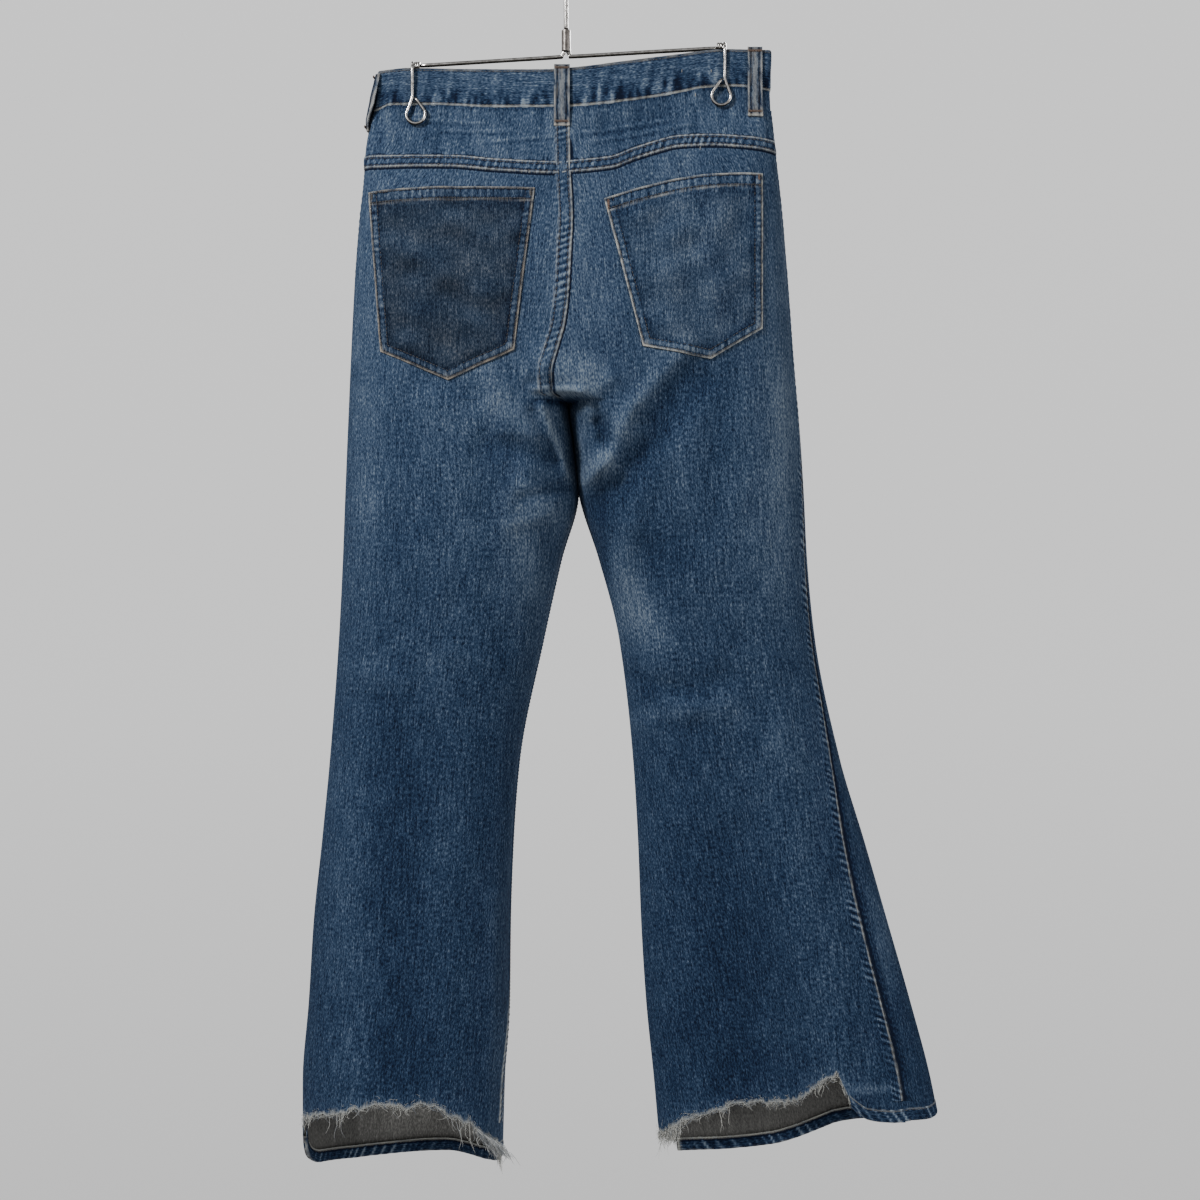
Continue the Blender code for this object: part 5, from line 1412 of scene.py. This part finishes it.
def finish_loop(name, points, normal, lift, u, v, seed):
    """Ridges at the two folded edges, painted shade in the grooves beside them and bars of thread
    at the ends.
    """
    u, v = np.broadcast_arrays(u, v)
    width, length = (size * MM for size in LOOP_SIZE)
    edge = np.minimum(u, 1 - u)
    ridge, ditch = bump(edge, 0.06, 0.06), bump(edge, 0.22, 0.07)
    blotch = ripple(seed, u * width, v * length, 6, 24)
    # the dark in the ditch beside each ridge is painted shade
    wear = 0.38 + 0.12 * blotch - 0.8 * ditch
    cream = 0.5 * ridge * np.clip(0.8 + 0.5 * blotch, 0.2, 1.3) + 0.22 * bump(edge, 0.5, 0.16)
    cream = cream + 0.6 * bump(v, 0.985, 0.02)
    dirt = 0.5 + 0.4 * (bump(v, 0.04, 0.04) + bump(v, 0.92, 0.04))
    relief = (0.35 * ridge - 0.35 * ditch + 0.1 * blotch) * MM
    lift = lift + relief + LOOP_WALL * 0.8
    patch = Patch(points, normal, WEAVE_AT["loop"] + u * width, v * length, lift)
    wall = 0.8 * LOOP_WALL
    piece = add_cloth(f"cloth_{name}", patch, wall, wear, cream, dirt, (name,), "denim")
    rows, columns = points.shape[:2]
    for at in LOOP_BARS:
        r = np.array([at * (rows - 1)])
        ends, turned = patch.at(r, np.array([0.5 * (columns - 1)]))
        across = patch.points[int(r[0]), -1] - patch.points[int(r[0]), 0]
        SEWING.bartack(ends[0], turned[0], across, 12.5 * MM, 2.6 * MM, 0.8)
    return piece, patch


def add_belt_loop(name, back, x, top, bottom, width, stand_off):
    u = np.linspace(0, 1, 18)[None, :]
    v = np.linspace(0, 1, 50)[:, None]
    points, normal = on_face(back, x + (u - 0.5) * width, top + (bottom - top) * v)
    lift = UNDER + stand_off * np.sin(math.pi * v) ** 0.7
    return finish_loop(name, points, normal, lift, u, v, SEEDS["loop"])


def add_side_loop():
    """The loop at the left outer fold, bowed well off the cloth."""
    sizes = {key: value * MM for key, value in SIDE_LOOP.items()}
    u = np.linspace(0, 1, 16)[None, :]
    v = np.linspace(0, 1, 50)[:, None]
    drop = sizes["top"] + (sizes["bottom"] - sizes["top"]) * v + 0 * u
    offset = sizes["along"] + 4.6 * MM + (u - 0.5) * sizes["width"]
    q = offset / half_length("left", False, drop)
    normal = normals("left", q, drop)
    out = normal + np.array((-0.5, 0, 0))
    out /= np.linalg.norm(out, axis=-1, keepdims=True)
    bow = UNDER + sizes["stand_off"] * np.sin(math.pi * v**1.3) ** 0.8
    points = surface("left", q, drop) + bow[..., None] * out
    return finish_loop("loop_side_left", points, normal, 0, u, v, SEEDS["side_loop"])


# ---------------------------------------------------------------- front: facings, fly, zip, button
FRONT_CENTRE = 2 * MM  # x of the fly's middle


def add_pocket_facing(side):
    shares = np.linspace(0, 0.5, 54)
    start = np.full(len(shares), MOUTH_LEVEL)
    q_top, top = settle(side, False, shares, waist_line, start)
    q_low, low = settle(side, False, shares, mouth_line, start)
    share = np.linspace(0, 1, 44)[:, None]
    q = q_top + (q_low - q_top) * share
    drop = top + (low + FACING_UNDERLAP - top) * share
    patch = patch_of(side, q, drop, False, -(CLOTH + FACING_UNDER))
    wear = wear_and_shade_at(False, patch.points[..., 0], drop) - 0.05
    name = f"pocket_facing_{side}"
    return add_cloth(f"cloth_facing_{side}", patch, CLOTH, wear, stands_for=(name,)), patch


def add_mouth_edge(side):
    """The folded and stitched edge of a front pocket's mouth."""
    shares = np.linspace(0, 0.44, 150)
    q_low, low = settle(side, False, shares, mouth_line, np.full(len(shares), MOUTH_LEVEL))
    across = np.linspace(*MOUTH_EDGE["across"], 12)[None, :] * MM
    points = surface(side, q_low, low)
    ahead = np.gradient(points, axis=0)
    into = np.cross(normals(side, q_low, low), ahead)
    into /= np.linalg.norm(into, axis=-1, keepdims=True)
    into = np.where((into[:, 2:3] > 0), -into, into)
    x = points[:, None, 0] + into[:, None, 0] * across
    drop = -(points[:, None, 2] + into[:, None, 2] * across)
    run = np.cumsum(np.linalg.norm(ahead, axis=-1))[:, None]
    run, across = np.broadcast_arrays(run, across)
    seated = on_face(False, x, np.maximum(drop, waist_line(side, q_low)[:, None]))
    patch = Patch(*seated, WEAVE_AT["mouth"] + across, run)
    wear = wear_and_shade_at(False, x, drop)
    piece = add_strip(f"mouth_edge_{side}", patch, run, across, MOUTH_EDGE, wear)
    SEWING.lines(patch, across, MOUTH_EDGE["stitches"], MOUTH_EDGE["tone"])
    return piece


FLY_STITCHES = (28, 33)  # mm from the fly's middle


def add_fly():
    """The folded edge of the left front, lapped over the right one and rounded at its foot."""
    u = np.linspace(-FLY_OVERLAP, FLY_WIDTH, 40)[None, :]
    across = (u + FLY_OVERLAP) / (FLY_WIDTH + FLY_OVERLAP)
    v = np.linspace(0, 1, 110)[:, None]
    x = FRONT_CENTRE - u + 0 * v
    top = level_line(WAIST_SEAM, FRONT_CENTRE - u)
    drop = top + 0.5 * MM + FLY_LENGTH * (1 - 0.32 * across**3) * v
    foot = (1 - v) * FLY_LENGTH
    lift = 2.0 * MM - 1.3 * MM * step_up(u, 33 * MM, 36 * MM)
    lift = lift - 0.25 * MM * lines_at(u, FLY_STITCHES, 0.8)
    lift = lift + 0.25 * MM * rope(SEEDS["fly"], drop, 8 * MM) * bump(u, -10 * MM, 5 * MM)
    lift = lift - 1.3 * MM * (1 - step_up(foot, 0, 4 * MM))
    patch = Patch(*on_face(False, x, drop), WEAVE_AT["fly"] + u, drop, lift)
    rubbed = 0.08 * rope(SEEDS["fly"] + 1, drop, 9 * MM) * bump(u, 30 * MM, 8 * MM)
    wear = wear_and_shade_at(False, x, drop) + rubbed
    cream = 0.6 * bump(u, -FLY_OVERLAP, 1.1 * MM)
    wall = np.maximum(lift + 0.3 * MM, 0.4 * MM)
    piece = add_cloth("cloth_fly", patch, wall, wear, cream, stands_for=("fly",))
    for at in FLY_STITCHES:
        c = np.interp(at * MM, u[0], np.arange(40))
        SEWING.run(*patch.at(np.linspace(1, 106, 140), np.full(140, c)), tone=0.4)
    return piece, patch


def add_zip():
    """Two rows of teeth on tapes, and the slider, behind the fly."""
    drop = np.linspace(WAIST_LEVEL + 6 * MM, WAIST_LEVEL + ZIP_LENGTH, 74)
    paths, radii = [], []
    for k, level in enumerate(drop):
        sign = 1 if k % 2 else -1
        point, normal = on_face(False, FRONT_CENTRE + sign * 0.6 * MM, level)
        middle = point - normal * (CLOTH + 1.3 * MM)
        reach = np.array((sign * 2.2 * MM, 0, 0))
        paths.append((middle - 0.2 * reach, middle + 0.4 * reach, middle + reach))
        radii.append((0.75 * MM, 0.7 * MM, 0.55 * MM))
    point, normal = on_face(False, FRONT_CENTRE, WAIST_LEVEL + 12 * MM)
    slider = point - normal * (CLOTH + 1.5 * MM)
    for sign in (-1, 1):
        paths.append([slider + np.array((sign * 2 * MM, 0, z * MM)) for z in (5, 0, -5)])
        radii.append((1.4 * MM, 1.9 * MM, 1.3 * MM))
    tones = np.zeros(len(paths))
    return add_strands("zip_teeth", paths, radii, tones, "brass", ("zip",), 6)


TURNED_SIDES = 40


def add_turned(name, profile, centre, axis, kind, stands_for):
    """A round piece turned from (radius, height) points along an axis."""
    axis = Vector(axis).normalized()
    across = axis.orthogonal().normalized()
    over = axis.cross(across)
    vertices = []
    for radius, height in profile:
        for k in range(TURNED_SIDES):
            angle = 2 * math.pi * k / TURNED_SIDES
            way = math.cos(angle) * across + math.sin(angle) * over
            vertices.append(tuple(Vector(centre) + axis * height + way * radius))
    mesh = new_mesh(name, vertices, turned_faces(len(profile), TURNED_SIDES), 32)
    return new_object(name, mesh, (kind,), stands_for)


def turned_faces(rows, sides):
    """Quads between rings of points, and a face over each end."""
    faces = [list(reversed(range(sides)))]
    for row in range(rows - 1):
        for k in range(sides):
            n = (k + 1) % sides
            a, b = row * sides, (row + 1) * sides
            faces.append((a + k, a + n, b + n, b + k))
    faces.append(list(range((rows - 1) * sides, rows * sides)))
    return faces


BUTTON_PROFILE = (
    # radius, height, in mm
    (3.2, 0), (7.9, 0.2), (8.4, 0.6), (8.5, 1.1), (8.1, 1.8), (7.2, 2.2), (6.4, 2.1),
    (5.9, 1.6), (4.6, 1.5), (4.2, 1.9), (3.4, 2.1), (1.6, 2.0), (0.02, 1.95),
)


def add_button():
    x = FRONT_CENTRE
    drop = float(0.5 * (level_line(WAIST_TOP, x) + level_line(WAIST_SEAM, x)))
    point, normal = on_face(False, x, drop)
    seat = point + normal * (BAND_WALL + 3 * LIFT)
    profile = [(radius * MM, height * MM) for radius, height in BUTTON_PROFILE]
    return add_turned("waist_button", profile, seat, normal, "brass", ("button",))


# ---------------------------------------------------------------- hems
RING_LENGTH = 0.29  # metres of cloth for one step of q at the hems
HEM_STITCHES = (-11.2, 11.2)  # mm from the fold, outside and inside


def add_hem(side):
    """The turned-up hem: down the outside, round the fold and up the inside."""
    q_in = float(seam_q(side, "inseam", np.array(HEM_LEVEL))) - 2
    q_side = float(seam_q(side, "side", np.array(HEM_LEVEL)))
    end = HEM_ENDS[side]
    count = int((end - q_in) * RING_LENGTH / (1.7 * MM))
    q = np.linspace(q_in, end, count)
    low = np.where(q < q_side, front_hem_line(side, q), edge_line(BACK_EDGES[side], q))
    low = np.convolve(np.pad(low, 4, mode="edge"), np.full(9, 1 / 9), mode="valid")
    spans = ((-14.5, -1.6, 12), (-1.2, 1.2, 7), (1.6, 13, 11))  # mm up from the fold, rows
    a = np.concatenate([np.linspace(*span) for span in spans])[:, None] * MM
    round_turn = math.pi * np.clip((a / MM + 1.6) / 3.2, 0, 1)
    drop = low[None, :] - np.maximum(np.abs(a) - 1.6 * MM, 0) + 1.3 * MM * np.sin(round_turn)
    q, a = q[None, :] + 0 * drop, a + 0 * drop
    points = surface(side, q, drop)
    normal = normals(side, q, drop)
    run = q * RING_LENGTH
    name = f"hem_{side}"
    waves = rope(SEEDS[name], run + 0.5 * a, 8.5 * MM)
    half_wall = 1.9 * MM
    lift = -half_wall + (half_wall + 0.3 * MM) * np.cos(round_turn) + 0.3 * MM * waves
    lift = np.where(a < -13 * MM, -0.3 * MM, lift)
    down = np.array((0, 0, -1.0))
    facing = normal * np.cos(round_turn)[..., None] + down * np.sin(round_turn)[..., None]
    patch = Patch(points + lift[..., None] * normal, facing, WEAVE_AT["hem"] + a, run)
    wear = wear_and_shade_round(points, drop) - 0.12 + 0.85 * np.clip(waves, 0, 1) ** 2
    wear = wear - 0.9 * bump(a, 10.8 * MM, 1.3 * MM)
    cream = 0.5 * bump(a, 0, 1.1 * MM) * np.clip(0.6 + 0.6 * waves, 0.1, 1.2)
    cream = cream + 0.8 * bump(a, 12.6 * MM, 0.9 * MM) + 0.3 * bump(a, -12.8 * MM, 1.1 * MM)
    cream = cream + 0.7 * bump(run, run[0, 0], 2.5 * MM)
    dirt = 0.2 * bump(a, 0, 2.5 * MM)
    piece = add_cloth(f"cloth_{name}", patch, 0.6 * MM, wear, cream, dirt, (name,))
    SEWING.lines(patch, a, HEM_STITCHES, 0.62, down=False)
    return piece, patch


# ---------------------------------------------------------------- torn edges
CLUMPS = {
    # ring place, half width in mm, longest in mm, number of yarns
    "left": (
        (0.15, 5, 15, 14), (0.3, 3, 26, 7), (0.33, 4, 16, 9), (0.5, 3, 15, 6), (0.7, 4, 34, 8),
        (0.76, 5, 24, 10), (0.88, 6, 14, 14), (0.97, 7, 18, 40), (1.01, 6, 25, 60),
    ),
    "right": (
        (0.36, 4, 12, 18), (0.42, 5, 17, 10), (0.6, 4, 10, 8), (0.72, 2, 24, 4), (0.86, 8, 13, 16),
        (0.9, 4, 28, 9), (0.87, 7, 22, 40), (0.92, 8, 20, 50), (0.985, 8, 11, 40),
    ),
}
KNOT_YARNS = 110  # left at the left heel's inner corner
YARN_TAPER = np.array((1, 1, 1, 0.95, 0.95, 0.9, 0.8, 0.6, 0.3))


def add_fray(side, panel, dice):
    """Yarns that hang and stand out along a torn heel."""
    rows, columns = panel.points.shape[:2]
    q = ring_places(side, True, np.linspace(0, 1, columns), panel.v[-1])
    first = float(np.flatnonzero(q > HEM_ENDS[side] - 0.004)[0])
    last = columns - 1.0
    paths, radii, tones = [], [], []

    def on_edge(c):
        return panel.at(np.array(rows - 1.0), np.array(c))

    def strand(c, up, length, lean, out, thick, tone, curl, pull=0.0):
        """One yarn: its root, its length, and how far it leans, stands out, curls and is pulled."""
        point, normal = on_edge(c)
        beside = on_edge(min(c + 1, columns - 1.0))[0] - on_edge(min(c, columns - 2.0))[0]
        beside = beside / max(np.linalg.norm(beside), 1e-9)
        root = point + np.array((0, 0, up)) - normal * dice.uniform(0.1, 0.9) * MM
        turns = dice.uniform(0, 2 * math.pi, 3)
        paces = dice.uniform(3, 9, 3)
        path = []
        for t in np.linspace(0, 1, len(YARN_TAPER)):
            sway, hang, stand = (curl * math.sin(a + b * t) * t for a, b in zip(turns, paces))
            way = beside * (lean * length * t**1.3 + sway) + normal * (out * t + 0.5 * stand)
            path.append(root + way + np.array((pull * length * t, 0, -length * t + 0.5 * hang)))
        paths.append(path)
        radii.append(thick * YARN_TAPER)
        tones.append(tone)

    for _ in range(int((last - first) * 7)):  # short yarns all along
        c = dice.uniform(first, last)
        length = (dice.uniform(0.8, 4.2) + 6 * dice.uniform(0, 1) ** 6) * MM
        tone = 0.0 if dice.uniform() < 0.55 else dice.uniform(0.3, 1)
        thick = dice.uniform(0.1, 0.2) * MM
        lean, out = dice.normal(0, 1.1), dice.uniform(-0.8, 1.8) * MM
        strand(c, 0.8 * MM, length, lean, out, thick, tone, 1.6 * MM)
    for _ in range(int((last - first) * 4)):  # fuzz above the edge
        c = dice.uniform(first, last)
        height = 6 * dice.uniform(0, 1) ** 2 * MM
        length = dice.uniform(-2.5, 3.5) * MM
        lean, out = dice.normal(0, 2), dice.uniform(0.4, 1.8) * MM
        strand(c, height, length, lean, out, 0.14 * MM, 0.1, 1.4 * MM)
    for at, span, long, number in CLUMPS[side]:
        middle = float(np.interp(at, q, np.arange(columns)))
        lean = dice.normal(0, 0.15)
        for _ in range(number):
            c = float(np.clip(middle + dice.normal(0, 1) * span / 3.2, first, last))
            length = long * MM * dice.uniform(0.3, 1)
            tone = 0.0 if dice.uniform() < 0.85 else 0.5
            thick = dice.uniform(0.14, 0.28) * MM
            swing = lean + dice.normal(0, 0.12)
            strand(c, 2 * MM, length, swing, 1.5 * MM, thick, tone, 2.6 * MM)
    for _ in range(KNOT_YARNS if side == "left" else 0):
        c = last - dice.uniform(0, 9)
        length = 21 * MM * dice.uniform(0.45, 1)
        thick = dice.uniform(0.2, 0.42) * MM
        tone, pull = dice.uniform(0.2, 0.6), dice.uniform(0.2, 1.1)
        strand(c, 1 * MM, length, 0, 1.5 * MM, thick, tone, 4.2 * MM, pull)
    name = f"fray_{side}"
    return add_strands(f"{name}_yarns", paths, radii, tones, "fray", (name,))


# ---------------------------------------------------------------- hanger
def rounded(points, steps):
    """A smooth route through a few points."""
    points = np.asarray(points, float)
    padded = np.concatenate((2 * points[:1] - points[1:2], points, 2 * points[-1:] - points[-2:-1]))
    t = np.linspace(0, 1, steps, endpoint=False)[:, None]
    parts = []
    for a, b, c, d in zip(padded, padded[1:], padded[2:], padded[3:]):
        second, third = 2 * a - 5 * b + 4 * c - d, 3 * b - a - 3 * c + d
        parts.append(0.5 * (2 * b + (c - a) * t + second * t**2 + third * t**3))
    parts.append(points[-1:])
    return np.concatenate(parts)


def arc(centre, radius, degrees, flip=1):
    """Points (x, z) round a centre."""
    angle = np.radians(np.asarray(degrees, float))
    return np.asarray(centre) + radius * np.stack((flip * np.cos(angle), np.sin(angle)), axis=-1)


def add_wires(name, routes, radius, stands_for):
    """Round wires joined in one piece, each with the same number of steps."""
    longest = max(len(route) for route in routes)
    even = []
    for route in routes:
        at, steps = np.linspace(0, len(route) - 1, longest), np.arange(len(route))
        even.append(np.stack([np.interp(at, steps, route[:, k]) for k in range(3)], axis=-1))
    radii = np.full((len(even), longest), radius)
    radii[:, (0, -1)] *= 0.8
    return add_strands(name, even, radii, np.zeros(len(even)), "steel", stands_for, 14)


STEM = (-52, -66)  # z in mm of the points above the collar
COLLAR_RIM = ((0.8, 0.0), (0.95, 0.3), (1.0, 0.9), (1.0, 1.1), (1.0, 1.8))  # of radius, mm


def add_hanger():
    crook = arc((0, -(HOOK_BEND - HOOK_WIRE)), HOOK_BEND, range(200, -61, -20))
    route = [np.array((x, 0, z)) for x, z in crook]
    stem_top = np.array((0, 0, STEM[0] * MM))
    tail = route[-1]
    for share in (0.35, 0.7):
        bend = tail + (stem_top - tail) * share
        route.append(bend + np.array((-1.5 * MM * math.sin(math.pi * share), 0, 0)))
    route += [stem_top, (0, 0, STEM[1] * MM), (0, 0, -(COLLAR_TOP - LIFT))]
    add_wires("hook_wire", [rounded(route, 8)], HOOK_WIRE, ("hanger_hook",))
    high = COLLAR_BOTTOM - COLLAR_TOP
    profile = [(COLLAR_RADIUS * radius, height * MM) for radius, height in COLLAR_RIM]
    profile += [(radius, high - height) for radius, height in profile[::-1]]
    foot, up = (0, 0, -COLLAR_BOTTOM), (0, 0, 1)
    add_turned("collar", profile, foot, up, "collar", ("hanger_collar",))
    arms = []
    for sign, rows in ((-1, BAR_ROUTE[:5]), (1, BAR_ROUTE[:3:-1])):
        arm = [(x * MM, 0, -drop * MM) for x, drop in rows[:-1]]
        arm[0] = (arm[0][0] + sign * 4 * MM, 0, arm[0][2])
        arm.append((sign * 1.9 * MM, 0, -COLLAR_BOTTOM + 0.5 * MM))
        arms.append(rounded(arm, 8))
    add_wires("bar_arms", arms, BAR_WIRE, ("hanger_bar",))
    for name, (x, *drops, lean) in CLIPS.items():
        add_clip(name, x * MM, *(drop * MM for drop in drops), lean)


def clip_face(x, bar_drop, eye_drop, lean, back):
    """Half of a clip: from above the bar down one face of the waistband to its drop-shaped eye."""
    middle = (x + lean * 3.5 * MM, -(eye_drop + EYE_LENGTH - EYE_RADIUS))
    shape = [(x, -(bar_drop + 6 * MM)), (x, -(eye_drop - 8 * MM)), (x, -eye_drop)]
    shape += list(arc(middle, EYE_RADIUS, range(148, 397, 12), lean))
    shape.append((x + lean * 2.7 * MM, -(eye_drop + 0.5 * MM)))
    shape = np.array([tuple(point) for point in shape])
    on_cloth, _ = on_face(back, shape[:, 0], -shape[:, 1])
    depth = np.abs(on_cloth[:, 1])
    bend = np.polyval(np.polyfit(shape[:, 1], depth, 2), shape[:, 1])  # stiff: it spans dips
    depth = bend + np.max(depth - bend) + LIFT + CLIP_WIRE + 1.6 * MM
    return np.stack((shape[:, 0], -depth if back else depth, shape[:, 1]), axis=-1)


def add_clip(name, x, bar_drop, eye_drop, lean):
    back, front = (clip_face(x, bar_drop, eye_drop, lean, face) for face in (True, False))
    over = BAR_WIRE + CLIP_WIRE + LIFT
    angle = np.radians(np.arange(180, -1, -30))
    bridge = (x + 0 * angle, over * 1.55 * np.cos(angle), -bar_drop + over * np.sin(angle))
    route = np.concatenate((back[::-1], np.stack(bridge, axis=-1), front))
    turns = np.linspace(0, 2 * 2 * math.pi, 40)
    along = x + lean * (1 + np.linspace(0, 1, 40) * 5) * MM
    tight = BAR_WIRE + CLIP_WIRE
    wrap = np.stack((along, tight * np.sin(turns), -bar_drop + tight * np.cos(turns)), axis=-1)
    add_wires(f"{name}_wire", [rounded(route, 5), wrap], 1.3 * CLIP_WIRE, (name,))


# ---------------------------------------------------------------- the whole garment
SPECKS = (
    # x, drop in mm: stray stitches left in the waistband
    (111, 119), (139, 119), (124, 142), (128, 196),
)
CLIP_PIECES = ("hanger_clip_left_wire", "hanger_clip_right_wire")
FRAY_SEEDS = {"left": 17, "right": 19}


def dress_side(side):
    """One half: its sheets of cloth, with what each rests on and the pieces sewn to it."""
    back, back_patch = add_leg_panel(side, True)
    front, front_patch = add_leg_panel(side, False)
    yoke, yoke_patch = add_yoke(side)
    yoke_seam = add_yoke_seam(side)
    start, end = SEAM_SPAN[side]
    outseam = seam_strip(f"seam_out_{side}", side, "side", start, end, OUTSEAM)
    low = end + INSEAM_PAST
    inseam = seam_strip(f"seam_in_{side}", side, "inseam", INSEAM_TOP, low, INSEAM)
    hem, hem_patch = add_hem(side)
    fray = add_fray(side, back_patch, np.random.default_rng(FRAY_SEEDS[side]))
    facing, facing_patch = add_pocket_facing(side)
    mouth = add_mouth_edge(side)
    band = "cloth_waistband"
    return [
        [back, back_patch, [f"cloth_yoke_{side}"], [outseam, inseam, yoke_seam, fray]],
        [front, front_patch, [band], [mouth]],
        [yoke, yoke_patch, [band], []],
        [hem, hem_patch, [f"cloth_front_{side}"], []],
        [facing, facing_patch, [band], []],
    ]


def dress():
    sheets = dress_side("left") + dress_side("right")
    sheets[0][3].append(centre_strip("seam_seat", True, 158, 436, SEAT_SEAM))
    sheets[1][3].append(centre_strip("seam_rise", False, 318, 436, RISE_SEAM))
    sheets.append((*add_waistband(), CLIP_PIECES, ()))
    sheets.append((*add_fly(), ("cloth_front_left",), ()))
    for name in BACK_POCKETS:
        sheets.append((*add_back_pocket(name), (name.replace("back_pocket", "cloth_back"),), ()))
    for name, face, *sizes in BELT_LOOPS:
        loop, patch = add_belt_loop(name, face == "back", *(size * MM for size in sizes))
        sheets.append((loop, patch, ("cloth_waistband",), ()))
    sheets.append((*add_side_loop(), ("cloth_waistband",), ()))
    add_zip()
    add_button()
    add_hanger()
    for x, drop in SPECKS:
        place_at, turned = on_face(True, np.array(x * MM), np.array(drop * MM))
        start = place_at + 1.9 * MM * turned
        line = np.stack((start, start - np.array((0, 0, 3.6 * MM))))
        SEWING.run(line, np.stack((turned, turned)), 3.2 * MM, 0.2 * MM, lift=0.7 * MM)
    SEWING.finish("sewing_thread", 0.3 * MM)
    for piece, patch, rests_on, with_pieces in sheets:
        declare(patch)


# ---------------------------------------------------------------- stage
FLOOR_LEVEL = -1.5
FLOOR_RINGS = ((0.86, 0.0), (0.864, -0.004), (0.864, -0.02))  # radius, height: a rounded rim
FLOOR_SIDES = 96
FLOOR_COLOURS = ((0.3, (0.6, 0.6, 0.61)), (0.7, (0.64, 0.64, 0.65)))
LIGHTS = {
    # place, target, size, power
    "key": ((-1.7, -1.65, 1.2), (0.05, 0, -0.62), 0.5, 190),
    "fill": ((2.0, -1.2, -0.2), (0.1, 0, -0.7), 1.2, 36),
    "behind": ((1.2, 2.2, 0.8), (0, 0, -0.6), 1.0, 120),
}
CAMERA_AT = (0.0326, -1.9, -0.627)
SENSOR = 36  # mm
VIEW_WIDTH = 1.152  # metres seen across the frame at the distance CAMERA_AWAY
CAMERA_AWAY = 1.9
SKY = (
    # height of a direction, brightness
    (-1.0, 0.25), (-0.6, 0.5), (-0.3, 0.76), (-0.05, 0.94), (0.35, 1.0), (0.65, 0.6), (1.0, 0.3),
)


def add_floor():
    angle = 2 * math.pi * np.arange(FLOOR_SIDES) / FLOOR_SIDES
    rings = []
    for reach, height in FLOOR_RINGS:
        level = np.full(FLOOR_SIDES, FLOOR_LEVEL + height)
        rings.append(np.stack((reach * np.cos(angle), reach * np.sin(angle), level), axis=-1))
    faces = [list(range(FLOOR_SIDES))]
    for row in (0, FLOOR_SIDES):
        for k in range(FLOOR_SIDES):
            a, b = row + k, row + (k + 1) % FLOOR_SIDES
            faces.append((a, a + FLOOR_SIDES, b + FLOOR_SIDES, b))
    mesh = bpy.data.meshes.new("floor")
    mesh.from_pydata(np.concatenate(rings).tolist(), [], faces)
    graph = Graph(bpy.data.materials.new("floor"))
    base = graph.colours(graph.noise(3.0, 3.0), FLOOR_COLOURS)
    mesh.materials.append(graph.finish(Base_Color=base, Roughness=0.9))
    floor = bpy.data.objects.new("floor", mesh)
    bpy.context.scene.collection.objects.link(floor)


def add_light(name, at, target, size, energy):
    data = bpy.data.lights.new(name, "AREA")
    data.shape = "DISK"
    data.size = size
    data.energy = energy
    lamp = bpy.data.objects.new(name, data)
    lamp.location = at
    lamp.rotation_euler = (Vector(target) - Vector(at)).to_track_quat("-Z", "Y").to_euler()
    bpy.context.scene.collection.objects.link(lamp)


def add_sky():
    """A pale, even room, brightest level with the garment."""
    graph = Graph(bpy.data.worlds.new("studio"), "Background")
    place_of = graph.node("ShaderNodeTexCoord").outputs["Generated"]
    height = graph.node("ShaderNodeSeparateXYZ", Vector=place_of).outputs[2]
    share = graph.maths("MULTIPLY_ADD", height, 0.5, 0.5)
    stops = [(0.5 + 0.5 * at, (light, light, 1.003 * light)) for at, light in SKY]
    bpy.context.scene.world = graph.finish(Color=graph.colours(share, stops))


def add_camera():
    data = bpy.data.cameras.new("camera")
    data.sensor_width = SENSOR
    data.lens = SENSOR * CAMERA_AWAY / VIEW_WIDTH
    data.clip_start = 0.01
    camera = bpy.data.objects.new("camera", data)
    camera.location = CAMERA_AT
    camera.rotation_euler = (math.radians(90), 0, 0)
    bpy.context.scene.collection.objects.link(camera)
    bpy.context.scene.camera = camera


dress()
add_floor()
add_sky()
for name, sizes in LIGHTS.items():
    add_light(name, *sizes)
add_camera()
